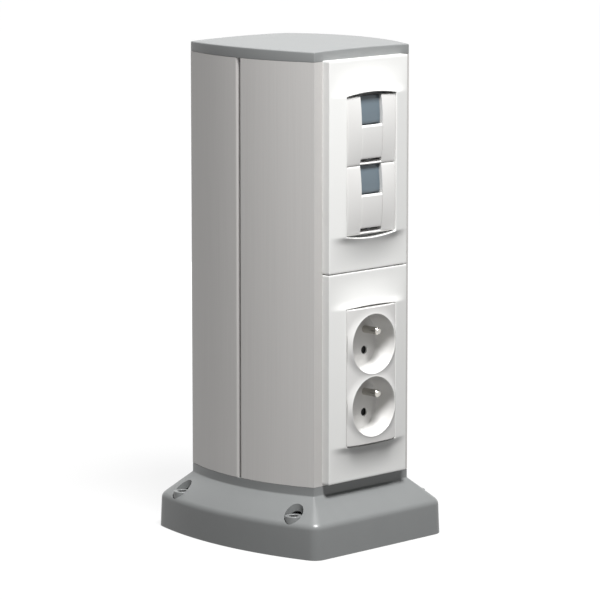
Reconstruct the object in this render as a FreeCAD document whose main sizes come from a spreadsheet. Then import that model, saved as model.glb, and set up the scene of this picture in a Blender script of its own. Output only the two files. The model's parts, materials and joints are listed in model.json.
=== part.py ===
import FreeCAD, Part
import math
import os

import Sketcher

# Driving sizes, in millimetres. Forward distances are measured from the column's middle, towards the front.
SIZES = {
    # Column, two equal extruded halves
    "half_width": 43.6,
    "half_depth": 57.5,
    "side_bulge": 12.0,
    "profile_wall": 1.8,
    "web_wall": 2.0,
    "seam_gap": 1.2,
    "seam_round": 2.0,
    "seam_groove": 3.2,
    "lip_depth": 6.0,
    "column_bottom": 43.4,
    "column_length": 276.0,
    "screw_port_inset": 7.5,
    "screw_port_place": 40.0,
    "screw_port_radius": 3.4,
    "screw_port_bore": 1.6,
    "port_rib": 2.0,
    "web_bolt_inset": 20.0,
    "web_bolt_radius": 2.0,
    "bolt_clearance": 0.15,
    "bolt_head_radius": 3.8,
    "bolt_head_height": 2.4,
    # Cap
    "cap_rim": 6.4,
    "cap_dome_radius": 1460.0,
    "cap_wall": 2.4,
    "cap_leg_offset": 12.5,
    "cap_leg_width": 9.0,
    "cap_leg_wall": 2.0,
    "cap_leg_length": 12.0,
    # Base cover, flaring from the column's plan to the floor
    "base_half_width": 57.8,
    "base_half_depth": 74.1,
    "base_side_bulge": 13.3,
    "base_front_bulge": 2.0,
    "base_corner": 7.0,
    "collar_corner": 1.0,
    "skirt_draft": 0.6,
    "skirt_top": 18.5,
    "shoulder_radius": 6.0,
    "slope_top": 37.0,
    "slope_end": 0.4,
    "cover_wall": 2.5,
    "ledge_width": 5.0,
    "cable_window_half_width": 26.0,
    "cable_window_half_depth": 42.0,
    # Cover screws, their wells and pillars
    "screw_side_inset": 0.3,
    "screw_front_inset": 21.1,
    "well_radius": 6.1,
    "well_wall": 1.8,
    "ring_level": 26.7,
    "boss_foot": 16.0,
    "hollow_side": 12.4,
    "screw_recess": 3.1,
    "screw_seat": 18.5,
    "screw_head_radius": 2.9,
    "screw_head_height": 2.6,
    "screw_radius": 1.75,
    "screw_bite": 9.0,
    "pillar_radius": 2.9,
    # Floor plate and cable entry
    "plate_wall": 3.0,
    "plate_gap": 0.5,
    "entry_radius": 18.0,
    "grommet_bore": 13.5,
    "grommet_flange": 22.0,
    "grommet_lip": 2.5,
    "floor_hole_side_inset": 25.8,
    "floor_hole_front_inset": 18.1,
    "floor_hole_radius": 3.5,
    "foot_wall": 3.0,
    "foot_gap": 0.4,
    "foot_screw_head": 3.0,
    "foot_screw_head_height": 2.2,
    "foot_screw_bite": 12.0,
    # Panels
    "panel_half": 36.0,
    "panel_cover": 4.5,
    "panel_depth": 6.1,
    "panel_wall": 2.3,
    "panel_foot_gap": 1.3,
    "panel_rise": 0.6,
    "panel_joint": 0.2,
    "window_inset": 23.8,
    "swell": 2.9,
    "swell_margin": 1.2,
    "swell_end": 0.03,
    "hump": 3.2,
    "panel_inset": 0.2,
    "upper_arch": 2.0,
    "lower_arch": 0.9,
    "hook_from_end": 9.0,
    "hook_width": 8.0,
    "hook_wall": 2.6,
    "hook_barb": 1.1,
    "hook_nose": 2.8,
    "clip_gap": 0.3,
    # Devices and their carriers
    "module": 45.0,
    "device_gap": 0.1,
    "carrier_edge": 6.0,
    "carrier_gap": 0.5,
    "carrier_collar": 1.8,
    "carrier_depth": 7.5,
    "device_crown": 1.2,
    "frame_depth": 10.5,
    "frame_wall": 3.0,
    "strip_half": 9.7,
    "groove_depth": 1.2,
    "sill": 2.5,
    "sill_face": 0.8,
    "sill_ramp": 1.6,
    "top_bar": 1.6,
    "slot_height": 1.5,
    # Data shutter and label strip
    "label_chamfer": 1.1,
    "shutter_recess": 1.9,
    "shutter_wall": 1.0,
    "shutter_shown": 19.0,
    "shutter_tail": 2.5,
    "shutter_dish": 0.7,
    "shutter_foot": 2.3,
    "shutter_foot_half": 2.0,
    "shutter_foot_wall": 1.5,
    "slide_gap": 0.3,
    "spring_half": 1.6,
    "spring_wire": 0.4,
    "spring_depth": 1.0,
    # Data jack, heights from the module's middle
    "jack_half": 7.25,
    "jack_height": 16.0,
    "jack_length": 25.0,
    "jack_top_gap": 0.5,
    "jack_flange": 0.8,
    "jack_fit": 0.15,
    "port_half": 5.9,
    "port_rise": 5.3,
    "port_height": 6.8,
    "port_depth": 14.0,
    "latch_half": 3.0,
    "latch_height": 2.3,
    "contact_pitch": 1.02,
    "contact_width": 0.5,
    "contact_set_back": 3.0,
    "wire_cap_length": 8.0,
    "wire_slot": 1.2,
    "wire_slot_pitch": 2.9,
    "wire_slot_depth": 1.8,
    "wire_slot_length": 4.8,
    # Socket front
    "plate_skin": 2.2,
    "skirt_wall": 1.6,
    "rim_rise": 2.5,
    "rim_inset": 2.9,
    "rim_space": 2.2,
    "rim_land": 0.8,
    "pillow_radius": 26.5,
    "cup_floor_radius": 18.0,
    "cup_depth": 15.6,
    "cup_wall": 1.0,
    "floor_wall": 2.0,
    "pin_hole_reach": 9.5,
    "pin_hole_radius": 2.75,
    "earth_reach": 10.0,
    "earth_radius": 2.4,
    "earth_shank": 2.0,
    "earth_stand": 13.1,
    "earth_tip_taper": 1.0,
    "earth_tip_step": 0.7,
    # Insulating body behind the wells
    "housing_gap": 0.2,
    "housing_inset": 3.5,
    "housing_wall": 2.0,
    "housing_depth": 27.4,
    "housing_front_wall": 6.4,
    "shutter_room_gap": 0.65,
    "shutter_room": 2.4,
    "safety_wall": 1.6,
    "safety_cover": 1.0,
    "spigot_radius": 1.9,
    "spigot_fit": 0.05,
    "coil_room_radius": 4.1,
    "coil_room": 2.6,
    "coil_radius": 3.6,
    "coil_pitch": 0.8,
    "coil_wire": 0.35,
    "coil_width": 1.8,
    "sleeve_wall": 0.9,
    "sleeve_inner": 2.4,
    "sleeve_inset": 3.0,
    "sleeve_slot": 0.8,
    "bar_inset": 15.4,
    "bar_wall": 1.0,
    "bar_inner": 11.0,
    "bar_width": 6.0,
    "earth_bar_step": 5.0,
    "terminal_size": 7.0,
    "terminal_depth": 5.6,
    "terminal_rise": 2.0,
    "terminal_screw": 1.5,
    "terminal_head": 2.4,
    "terminal_head_height": 1.2,
    # Bonding clamp on the web
    "clamp_side": 33.0,
    "clamp_width": 10.0,
    "clamp_depth": 8.0,
    "clamp_rise": 4.6,
    "clamp_hole": 2.3,
    "clamp_head_height": 1.6,
}

DOC = FreeCAD.newDocument("power_column")
SHEET = DOC.addObject("Spreadsheet::Sheet", "Sizes")
NODES = {}


class Size:
    """A length that carries both its number and the sheet expression that gives it."""

    def __init__(self, value, text):
        self.value = value
        self.text = text

    def __add__(self, other):
        other = size(other)
        return Size(self.value + other.value, f"({self.text} + {other.text})")

    def __sub__(self, other):
        other = size(other)
        return Size(self.value - other.value, f"({self.text} - {other.text})")

    def __mul__(self, other):
        other = size(other)
        return Size(self.value * other.value, f"({self.text} * {other.text})")

    def __truediv__(self, other):
        other = size(other)
        return Size(self.value / other.value, f"({self.text} / {other.text})")

    def __neg__(self):
        return Size(-self.value, f"(0 - {self.text})")

    def __radd__(self, other):
        return size(other) + self

    def __rsub__(self, other):
        return size(other) - self

    def __rmul__(self, other):
        return size(other) * self


class Named:
    """The driving sizes by name."""


def size(thing):
    return thing if isinstance(thing, Size) else Size(float(thing), format(float(thing), ".6f"))


def root(length):
    return Size(math.sqrt(length.value), f"sqrt({length.text})")


def sine(angle):
    return Size(math.sin(math.radians(angle.value)), f"sin({angle.text})")


def cosine(angle):
    return Size(math.cos(math.radians(angle.value)), f"cos({angle.text})")


def fill_sheet():
    for row, (name, value) in enumerate(SIZES.items(), start=1):
        SHEET.set(f"A{row}", name)
        SHEET.set(f"B{row}", str(value))
        SHEET.setAlias(f"B{row}", name)
        setattr(Named, name, Size(value, "Sizes." + name))
    DOC.recompute()


fill_sheet()
S = Named

# How far a cutting shape runs on past the piece it cuts
OVERRUN = 1.0

# Places that follow from the driving sizes
S.column_top = S.column_bottom + S.column_length
S.mouth_half = S.panel_half - S.panel_cover
S.panel_face = S.half_depth + S.panel_depth
S.panel_bottom = S.column_bottom + S.panel_foot_gap
S.panel_top = S.column_top + S.panel_rise
S.panel_split = (S.panel_bottom + S.panel_top) / 2
S.data_bottom = S.panel_top - S.window_inset - 2 * S.module
S.power_bottom = S.panel_bottom + S.window_inset
S.power_middle = S.power_bottom + S.module
S.screw_side = S.base_half_width - S.screw_side_inset
S.screw_front = S.base_half_depth - S.screw_front_inset
S.floor_hole_side = S.base_half_width - S.floor_hole_side_inset
S.floor_hole_front = S.base_half_depth - S.floor_hole_front_inset
S.ledge = S.column_bottom - S.cover_wall
S.device_face = S.panel_face + S.swell
S.carrier_half = S.panel_half - S.panel_wall - S.carrier_gap
S.carrier_back = S.half_depth - S.carrier_depth
S.frame_back = S.device_face - S.frame_depth
S.shutter_face = S.device_face - S.shutter_recess
S.shutter_back = S.shutter_face - S.shutter_wall
S.jack_front = S.shutter_back - S.shutter_foot - S.slide_gap
S.jack_back = S.jack_front - S.jack_length
S.rim_face = S.device_face + S.rim_rise
S.rim_radius = S.module / 2 - S.rim_inset
S.well_pitch = 2 * S.rim_radius + S.rim_space
S.cup_floor = S.rim_face - S.cup_depth
S.earth_tip = S.cup_floor + S.earth_stand
S.housing_half = S.module / 2 - S.device_gap - S.skirt_wall - S.housing_gap
S.housing_half_height = S.module - S.housing_inset
S.housing_front = S.cup_floor - S.floor_wall
S.housing_back = S.housing_front - S.housing_depth
S.safety_pad = S.pin_hole_radius + S.safety_cover
S.safety_room_half = S.pin_hole_reach + S.safety_pad + S.shutter_room_gap
S.sleeve_outer = S.sleeve_inner + S.sleeve_wall
S.sleeve_front = S.housing_front - S.sleeve_inset
S.bar_plane = S.housing_front - S.bar_inset
S.earth_bar_plane = S.bar_plane - S.earth_bar_step
S.terminal_low = S.power_middle - S.housing_half_height + S.housing_wall + S.terminal_rise
S.clamp_low = S.column_bottom + S.clamp_rise

# Small tools for bound objects


def bind(thing, place, value):
    thing.setExpression(place, size(value).text)


def add(kind, name):
    return DOC.addObject(kind, name)


def node(name, thing):
    """Keeps a finished sub-part under the name of its file."""
    thing.Label = name
    NODES[name] = thing
    return thing


def block(x, y, z, name="Block"):
    """A box between a low and a high value on each axis."""
    box = add("Part::Box", name)
    for edge, axis, (low, high) in zip(("Length", "Width", "Height"), "xyz", (x, y, z)):
        bind(box, edge, size(high) - size(low))
        bind(box, "Placement.Base." + axis, low)
    return box


UP = FreeCAD.Vector(0, 0, 1)
RIGHT = FreeCAD.Vector(1, 0, 0)
FORWARD = FreeCAD.Vector(0, -1, 0)
TURNS = {
    "x": FreeCAD.Rotation(FreeCAD.Vector(0, 1, 0), 90),
    "y": FreeCAD.Rotation(FreeCAD.Vector(1, 0, 0), -90),
    "z": FreeCAD.Rotation(),
}


def place_on(thing, axis, centre, low):
    """Lays a turned primitive along an axis: centre gives the two other coordinates in X, Y, Z order."""
    thing.Placement = FreeCAD.Placement(FreeCAD.Vector(), TURNS[axis])
    spots = dict(zip([letter for letter in "xyz" if letter != axis], centre))
    spots[axis] = low
    for letter in "xyz":
        bind(thing, "Placement.Base." + letter, spots[letter])
    return thing


def rod(axis, centre, span, radius, name="Rod"):
    low, high = span
    cylinder = add("Part::Cylinder", name)
    bind(cylinder, "Radius", radius)
    bind(cylinder, "Height", size(high) - size(low))
    return place_on(cylinder, axis, centre, low)


def hexagon(axis, centre, span, radius, name="Hexagon"):
    low, high = span
    prism = add("Part::Prism", name)
    prism.Polygon = 6
    bind(prism, "Circumradius", radius)
    bind(prism, "Height", size(high) - size(low))
    return place_on(prism, axis, centre, low)


def taper(axis, centre, span, low_radius, high_radius, name="Taper"):
    low, high = span
    cone = add("Part::Cone", name)
    bind(cone, "Radius1", low_radius)
    bind(cone, "Radius2", high_radius)
    bind(cone, "Height", size(high) - size(low))
    return place_on(cone, axis, centre, low)


def fuse(*shapes):
    if len(shapes) == 1:
        return shapes[0]
    joined = add("Part::MultiFuse", "Joined")
    joined.Shapes = list(shapes)
    return joined


def cut(base, *tools):
    rest = add("Part::Cut", "Rest")
    rest.Base = base
    rest.Tool = fuse(*tools)
    return rest


def common(first, second):
    shared = add("Part::Common", "Shared")
    shared.Base = first
    shared.Tool = second
    return shared


def group(shapes):
    """Separate solids in one sub-part."""
    together = add("Part::Compound", "Group")
    together.Links = list(shapes)
    return together


def new_body(name):
    return node(name, add("PartDesign::Body", name))


def sketch_on(body, plane, level=0.0):
    """An empty sketch on one of the body's own planes, lifted by level along the plane's normal."""
    sketch = body.newObject("Sketcher::SketchObject", "Sketch")
    for feature in body.Origin.OriginFeatures:
        if feature.Role == plane:
            sketch.AttachmentSupport = [(feature, "")]
    sketch.MapMode = "FlatFace"
    bind(sketch, "AttachmentOffset.Base.z", level)
    return sketch


def free_sketch(level, turn="z"):
    """An empty sketch of its own, seen from above or, turned, from the side (x) or the front (y)."""
    sketch = add("Sketcher::SketchObject", "Outline")
    turns = {
        "x": FreeCAD.Rotation(FreeCAD.Vector(1, 1, 1), 120),
        "y": FreeCAD.Rotation(RIGHT, 90),
        "z": FreeCAD.Rotation(),
    }
    sketch.Placement = FreeCAD.Placement(FreeCAD.Vector(), turns[turn])
    bind(sketch, "Placement.Base." + turn, level)
    return sketch


def draw(sketch, points):
    """A closed loop. A point is (x, y), or (x, y, side, radius) where the edge that leaves it is an arc
    which bulges to the right of its way for side 1 and to the left for side -1."""
    count = len(points)
    first = sketch.GeometryCount
    starts, ends, limits = [], [], []
    for index, point in enumerate(points):
        after = points[(index + 1) % count]
        begin = FreeCAD.Vector(size(point[0]).value, size(point[1]).value, 0)
        finish = FreeCAD.Vector(size(after[0]).value, size(after[1]).value, 0)
        if len(point) == 2:
            sketch.addGeometry(Part.LineSegment(begin, finish), False)
            starts.append(1)
            ends.append(2)
            continue
        side, radius = point[2], size(point[3])
        chord = finish - begin
        right = FreeCAD.Vector(chord.y, -chord.x, 0).normalize()
        drop = math.sqrt(max(radius.value ** 2 - chord.Length ** 2 / 4, 0.0))
        centre = (begin + finish) * 0.5 - right * (side * drop)
        opening, closing = (begin, finish) if side > 0 else (finish, begin)
        low = math.atan2(opening.y - centre.y, opening.x - centre.x)
        high = math.atan2(closing.y - centre.y, closing.x - centre.x)
        circle = Part.Circle(centre, FreeCAD.Vector(0, 0, 1), radius.value)
        sketch.addGeometry(Part.ArcOfCircle(circle, low, high + (2 * math.pi if high < low else 0.0)), False)
        starts.append(1 if side > 0 else 2)
        ends.append(2 if side > 0 else 1)
        limits.append(("Radius", first + index, None, radius))
    joints = []
    for index, point in enumerate(points):
        joints.append(Sketcher.Constraint("Coincident", first + (index - 1) % count, ends[index - 1],
                                          first + index, starts[index]))
        limits.append(("DistanceX", first + index, starts[index], size(point[0])))
        limits.append(("DistanceY", first + index, starts[index], size(point[1])))
    sketch.addConstraint(joints)
    bind_limits(sketch, limits)


def draw_circle(sketch, x, y, radius):
    x, y, radius = size(x), size(y), size(radius)
    centre = FreeCAD.Vector(x.value, y.value, 0)
    index = sketch.addGeometry(Part.Circle(centre, FreeCAD.Vector(0, 0, 1), radius.value), False)
    limits = [("DistanceX", index, 3, x), ("DistanceY", index, 3, y), ("Radius", index, None, radius)]
    bind_limits(sketch, limits)


def bind_limits(sketch, limits):
    fixed = []
    for kind, geometry, point, value in limits:
        if point is None:
            fixed.append(Sketcher.Constraint(kind, geometry, value.value))
        else:
            fixed.append(Sketcher.Constraint(kind, geometry, point, value.value))
    numbers = sketch.addConstraint(fixed)
    for number, (_, _, _, value) in zip(numbers, limits):
        sketch.setExpression(f"Constraints[{number}]", value.text)


def with_mirror(half):
    """Outline points on one side of x = 0, followed by their mirror images back to the start."""
    full = list(half)
    for index in reversed(range(len(half))):
        x, y = half[index][:2]
        arc = tuple(half[index - 1][2:]) if index > 0 else ()
        full.append((-size(x), y) + arc)
    return full


def rectangle(x, y):
    return [(x[1], y[0]), (x[1], y[1]), (x[0], y[1]), (x[0], y[0])]


def pad(body, sketch, length, reverse=False):
    feature = body.newObject("PartDesign::Pad", "Pad")
    feature.Profile = sketch
    feature.Reversed = reverse
    bind(feature, "Length", length)
    sketch.Visibility = False
    return feature


def pocket(body, sketch, length, reverse=False):
    """Cuts against the sketch's normal, or along it when reversed, and stops if nothing was cut."""
    DOC.recompute()
    before = body.Shape.Volume
    feature = body.newObject("PartDesign::Pocket", "Pocket")
    feature.Profile = sketch
    feature.Reversed = reverse
    bind(feature, "Length", length)
    DOC.recompute()
    if body.Shape.Volume > before - 1e-3:
        raise RuntimeError(f"{body.Label}: {feature.Name} cuts nothing")
    return feature


def loft(body, sketches, ruled):
    feature = body.newObject("PartDesign::AdditiveLoft", "Loft")
    feature.Profile = sketches[0]
    feature.Sections = sketches[1:]
    feature.Ruled = ruled
    return feature


# Shared forms

def circle_radius(half_chord, bulge):
    return (half_chord * half_chord + bulge * bulge) / (2 * bulge)


def side_at(depth, inset=0.0):
    """How far out the column's side lies at a distance from its middle plane."""
    radius = circle_radius(S.half_depth, S.side_bulge)
    inner = radius - inset
    return S.half_width + S.side_bulge - radius + root(inner * inner - size(depth) * depth)


def column_plan(inset):
    """The column's outline from above: bulging sides and flat front and rear."""
    wide = S.half_width - inset
    deep = S.half_depth - inset
    radius = circle_radius(deep, S.side_bulge)
    return [(wide, -deep, 1, radius), (wide, deep), (-wide, deep, 1, radius), (-wide, -deep)]


def rounded_plan(wide, deep, side_bulge, front_bulge, corner, inset=0.0):
    """An outline of bulging sides whose corners are arcs tangent to both, moved inwards by an inset."""
    side_radius = circle_radius(deep, side_bulge)
    side_centre = wide + side_bulge - side_radius
    if front_bulge is None:
        corner_y = deep - corner
        reach = side_radius - corner
        corner_x = side_centre + root(reach * reach - corner_y * corner_y)
        front_x, front_y = corner_x, deep - inset
        front = ()
    else:
        front_radius = circle_radius(wide, front_bulge)
        front_centre = deep + front_bulge - front_radius
        side_reach, front_reach = side_radius - corner, front_radius - corner
        apart = root(side_centre * side_centre + front_centre * front_centre)
        along = (side_reach * side_reach - front_reach * front_reach + apart * apart) / (2 * apart)
        across = root(side_reach * side_reach - along * along)
        corner_x = side_centre - (side_centre * along + front_centre * across) / apart
        corner_y = (front_centre * along - side_centre * across) / apart
        front_x = corner_x * (front_radius - inset) / front_reach
        front_y = front_centre + (corner_y - front_centre) * (front_radius - inset) / front_reach
        front = (1, front_radius - inset)
    share = (side_radius - inset) / (side_radius - corner)
    side_x = side_centre + (corner_x - side_centre) * share
    side_y = corner_y * share
    side = (1, side_radius - inset)
    turn = (1, corner - inset)
    return [
        (side_x, -side_y, *side), (side_x, side_y, *turn),
        (front_x, front_y, *front), (-front_x, front_y, *turn),
        (-side_x, side_y, *side), (-side_x, -side_y, *turn),
        (-front_x, -front_y, *front), (front_x, -front_y, *turn),
    ]


def base_plan(inset):
    """The base's outline on the floor."""
    return rounded_plan(S.base_half_width, S.base_half_depth, S.base_side_bulge, S.base_front_bulge,
                        S.base_corner, inset)


def collar_plan(step):
    """The column's outline with its corners just broken, a step outside it."""
    return rounded_plan(S.half_width + step, S.half_depth + step, S.side_bulge, None, S.collar_corner)


def extrusion(sketch, length, direction):
    """A solid pulled out of a sketch along a fixed direction."""
    solid = add("Part::Extrusion", "Extrusion")
    solid.Base = sketch
    solid.DirMode = "Custom"
    solid.Dir = direction
    solid.Solid = True
    bind(solid, "LengthFwd", length)
    return solid


def corners(x, y):
    """The four places mirrored about both middle planes."""
    return [(x * sx, y * sy) for sx in (1, -1) for sy in (1, -1)]


# Column

def screw_port():
    """Centre of the extruded screw port in the front half's right side."""
    return side_at(S.screw_port_place) - S.screw_port_inset, S.screw_port_place


def column_profile(name, turned):
    body = new_body(name)
    radius = circle_radius(S.half_depth, S.side_bulge)
    edge = S.seam_gap / 2
    round_end = edge + S.seam_round
    groove = S.half_width + S.side_bulge - S.seam_groove
    lip = S.mouth_half + S.profile_wall
    inner_front = S.half_depth - S.profile_wall
    half = [
        (groove, 0.0),
        (groove, -edge),
        (side_at(round_end) - S.seam_round, -edge, -1, S.seam_round),
        (side_at(round_end), -round_end, -1, radius),
        (S.half_width, -S.half_depth),
        (S.mouth_half, -S.half_depth),
        (S.mouth_half, -S.half_depth + S.lip_depth),
        (lip, -S.half_depth + S.lip_depth),
        (lip, -inner_front),
        (side_at(inner_front, S.profile_wall), -inner_front, 1, radius - S.profile_wall),
        (side_at(S.web_wall, S.profile_wall), -S.web_wall),
    ]
    section = sketch_on(body, "XY_Plane", S.column_bottom)
    draw(section, with_mirror(half))
    pad(body, section, S.column_length)
    ribs = sketch_on(body, "XY_Plane", S.column_bottom)
    ports = sketch_on(body, "XY_Plane", S.column_bottom)
    bores = sketch_on(body, "XY_Plane", S.column_bottom)
    x, y = screw_port()
    for side in (1, -1):
        near, far = x * side, (side_at(y, S.profile_wall) + S.profile_wall / 2) * side
        span = (near, far) if side > 0 else (far, near)
        draw(ribs, rectangle(span, (-y - S.port_rib / 2, -y + S.port_rib / 2)))
        draw_circle(ports, near, -y, S.screw_port_radius)
        draw_circle(bores, near, -y, S.screw_port_bore)
    pad(body, ribs, S.column_length)
    pad(body, ports, S.column_length)
    pocket(body, bores, S.column_length, reverse=True)
    holes = sketch_on(body, "XZ_Plane", 0.0)
    for z in web_bolt_levels():
        draw_circle(holes, 0.0, z, S.web_bolt_radius + S.bolt_clearance)
    pocket(body, holes, S.web_wall * 2, reverse=True)
    if turned:
        body.Placement = FreeCAD.Placement(FreeCAD.Vector(), FreeCAD.Rotation(UP, 180))


def web_bolt_levels():
    return [S.column_bottom + S.web_bolt_inset, S.column_top - S.web_bolt_inset]


def web_fasteners():
    """Bolts and nuts that clamp the two webs back to back."""
    bolts, nuts = [], []
    for z in web_bolt_levels():
        head_end = -S.web_wall - S.bolt_head_height
        nut_end = S.web_wall + S.bolt_head_height
        shank = rod("y", (0.0, z), (-S.web_wall, nut_end + OVERRUN), S.web_bolt_radius)
        head = hexagon("y", (0.0, z), (head_end, -S.web_wall), S.bolt_head_radius)
        bolts.append(fuse(shank, head))
        nut = hexagon("y", (0.0, z), (S.web_wall, nut_end), S.bolt_head_radius)
        nuts.append(cut(nut, rod("y", (0.0, z), (S.web_wall - OVERRUN, nut_end + OVERRUN), S.web_bolt_radius)))
    node("web_bolts", group(bolts))
    node("web_nuts", group(nuts))


# Cap

def top_cap():
    outer = free_sketch(S.column_top)
    draw(outer, column_plan(size(0.0)))
    corner_reach = S.half_width * S.half_width + S.half_depth * S.half_depth
    dome_height = corner_reach / (2 * S.cap_dome_radius)
    slab = extrusion(outer, S.cap_rim + dome_height + OVERRUN, UP)
    ball = add("Part::Sphere", "Dome")
    ball.Placement = FreeCAD.Placement(FreeCAD.Vector(), TURNS["y"])
    bind(ball, "Radius", S.cap_dome_radius)
    bind(ball, "Placement.Base.z", S.column_top + S.cap_rim + dome_height - S.cap_dome_radius)
    inner = free_sketch(S.column_top)
    draw(inner, column_plan(S.cap_wall))
    hollow = extrusion(inner, S.cap_rim - S.cap_wall, UP)
    legs = []
    place = S.screw_port_place - S.cap_leg_offset
    near, far = place - S.cap_leg_width / 2, place + S.cap_leg_width / 2
    reach = side_at(far, S.profile_wall) - S.clip_gap
    low, high = S.column_top - S.cap_leg_length, S.column_top + S.cap_rim - S.cap_wall
    for x in ((reach - S.cap_leg_wall, reach), (-reach, -reach + S.cap_leg_wall)):
        for y in ((near, far), (-far, -near)):
            legs.append(block(x, y, (low, high)))
    node("top_cap", fuse(cut(common(slab, ball), hollow), *legs))


# Base

def flare(stations):
    """A solid with straight walls from one outline to the next: pairs of an outline and its level."""
    sections = []
    for outline, level in stations:
        section = free_sketch(level)
        draw(section, outline)
        sections.append(section)
    solid = add("Part::Loft", "Flare")
    solid.Sections = sections
    solid.Solid = True
    solid.Ruled = True
    return solid


def cover_outside():
    """The skirt, its shoulder rounded in two steps, the slope and the collar."""
    shoulder = size(45.0)
    rounded = S.skirt_draft + S.shoulder_radius * (1 - cosine(shoulder))
    return flare([
        (base_plan(0.0), size(0.0)),
        (base_plan(S.skirt_draft), S.skirt_top),
        (base_plan(rounded), S.skirt_top + S.shoulder_radius * sine(shoulder)),
        (collar_plan(S.slope_end), S.slope_top),
        (collar_plan(0.0), S.slope_top + S.slope_end),
        (collar_plan(0.0), S.column_bottom),
    ])


def cover_hollow():
    """The room inside: as wide as the skirt below, then drawn in parallel to the column's sides."""
    drop = S.cover_wall * (math.sqrt(2) - 1)
    low, high = S.skirt_top - drop, S.slope_top - drop
    wall = S.cover_wall + S.skirt_draft
    floor = free_sketch(0.0)
    draw(floor, base_plan(wall))
    top_inset = S.cover_wall - S.slope_end
    bottom_deep = S.base_half_depth - wall
    slope = flare([
        (hollow_plan(bottom_deep, -S.hollow_side), low),
        (hollow_plan(S.half_depth - top_inset, top_inset), high),
    ])
    room = free_sketch(high)
    draw(room, hollow_plan(S.half_depth - top_inset, top_inset))
    return fuse(extrusion(floor, low, UP), slope, extrusion(room, S.ledge - high, UP))


def hollow_plan(deep, inset):
    """Straight ends and sides parallel to the column's."""
    x = side_at(deep, inset)
    radius = circle_radius(S.half_depth, S.side_bulge) - inset
    return [(x, -deep, 1, radius), (x, deep), (-x, deep, 1, radius), (-x, -deep)]


def cover_screw_places():
    return corners(S.screw_side, S.screw_front)


def base_cover():
    outer = cover_outside()
    top = S.column_bottom + OVERRUN
    tube_top = S.ledge - S.foot_wall - S.foot_gap
    boss_radius = (S.well_radius + S.well_wall) / math.cos(math.radians(30))
    bosses, rings, wells = [], [], []
    for place in cover_screw_places():
        bosses.append(hexagon("z", place, (S.boss_foot, tube_top), boss_radius))
        rings.append(rod("z", place, (S.boss_foot, S.ring_level), S.well_radius))
        wells.append(rod("z", place, (S.ring_level, top), S.well_radius))
        wells.append(rod("z", place, (S.screw_seat, S.ring_level + OVERRUN), S.screw_recess))
        wells.append(rod("z", place, (S.boss_foot - OVERRUN, S.screw_seat + OVERRUN),
                         S.screw_radius + S.bolt_clearance))
    shell = fuse(cut(outer, cover_hollow()), common(outer, fuse(*bosses)), *rings)
    window = free_sketch(S.ledge - OVERRUN)
    draw(window, hollow_plan(S.half_depth - S.ledge_width, S.ledge_width))
    node("base_cover", cut(shell, extrusion(window, S.cover_wall + 2 * OVERRUN, UP), *wells))


def foot_screw_places():
    return corners(*screw_port())


def cover_fasteners():
    """Screws deep in the cover's wells, and the posts on the floor plate that take them."""
    screws, pillars = [], []
    tip = S.screw_seat - S.screw_bite
    for x, y in cover_screw_places():
        top = S.screw_seat + S.screw_head_height
        head = rod("z", (x, y), (S.screw_seat, top), S.screw_head_radius)
        shank = rod("z", (x, y), (tip, S.screw_seat), S.screw_radius)
        screws.append(fuse(head, shank))
        pillar = hexagon("z", (x, y), (S.plate_wall, S.boss_foot), S.pillar_radius)
        pillars.append(cut(pillar, rod("z", (x, y), (tip - OVERRUN, S.boss_foot + OVERRUN), S.screw_radius)))
    node("cover_screws", group(screws))
    node("cover_pillars", group(pillars))


def base_plate():
    body = new_body("base_plate")
    outline = sketch_on(body, "XY_Plane", 0.0)
    draw(outline, base_plan(S.skirt_draft + S.cover_wall + S.plate_gap))
    pad(body, outline, S.plate_wall)
    openings = sketch_on(body, "XY_Plane", 0.0)
    draw_circle(openings, 0.0, 0.0, S.entry_radius)
    for x, y in corners(S.floor_hole_side, S.floor_hole_front):
        draw_circle(openings, x, y, S.floor_hole_radius)
    pocket(body, openings, S.plate_wall, reverse=True)


def cable_grommet():
    rim = hexagon("z", (0.0, 0.0), (S.plate_wall, S.plate_wall + S.grommet_lip), S.grommet_flange)
    neck = rod("z", (0.0, 0.0), (S.plate_gap, S.plate_wall), S.entry_radius)
    bore = rod("z", (0.0, 0.0), (0.0, S.plate_wall + S.grommet_lip + OVERRUN), S.grommet_bore)
    node("cable_grommet", cut(fuse(rim, neck), bore))


def column_foot():
    """A steel plate that clamps the cover's ledge, with screws up into the profiles' screw ports."""
    seat = S.ledge - S.foot_wall
    body = new_body("column_foot")
    outline = sketch_on(body, "XY_Plane", seat)
    draw(outline, column_plan(S.cover_wall + S.foot_gap))
    pad(body, outline, S.foot_wall)
    openings = sketch_on(body, "XY_Plane", seat)
    draw(openings, rectangle((-S.cable_window_half_width, S.cable_window_half_width),
                             (-S.cable_window_half_depth, S.cable_window_half_depth)))
    for x, y in foot_screw_places():
        draw_circle(openings, x, y, S.screw_port_bore + S.bolt_clearance)
    pocket(body, openings, S.foot_wall, reverse=True)
    screws = []
    for place in foot_screw_places():
        head = hexagon("z", place, (seat - S.foot_screw_head_height, seat), S.foot_screw_head)
        shank = rod("z", place, (seat, S.column_bottom + S.foot_screw_bite), S.screw_port_bore)
        screws.append(fuse(head, shank))
    node("foot_screws", group(screws))


# Panels and carriers

def add_hooks(body, levels, front):
    """Clip legs that reach back through the column's mouth and catch behind its lips."""
    outer = S.mouth_half - S.clip_gap
    inner = outer - S.hook_wall
    catch = S.half_depth - S.lip_depth - S.clip_gap
    leg = [(inner, -front), (inner, -catch + S.hook_nose), (outer, -catch + S.hook_nose),
           (outer + S.hook_barb, -catch), (outer, -catch), (outer, -front)]
    for level in levels:
        legs = sketch_on(body, "XY_Plane", level - S.hook_width / 2)
        draw(legs, leg)
        draw(legs, [(-x, y) for x, y in reversed(leg)])
        pad(body, legs, S.hook_width)


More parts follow.
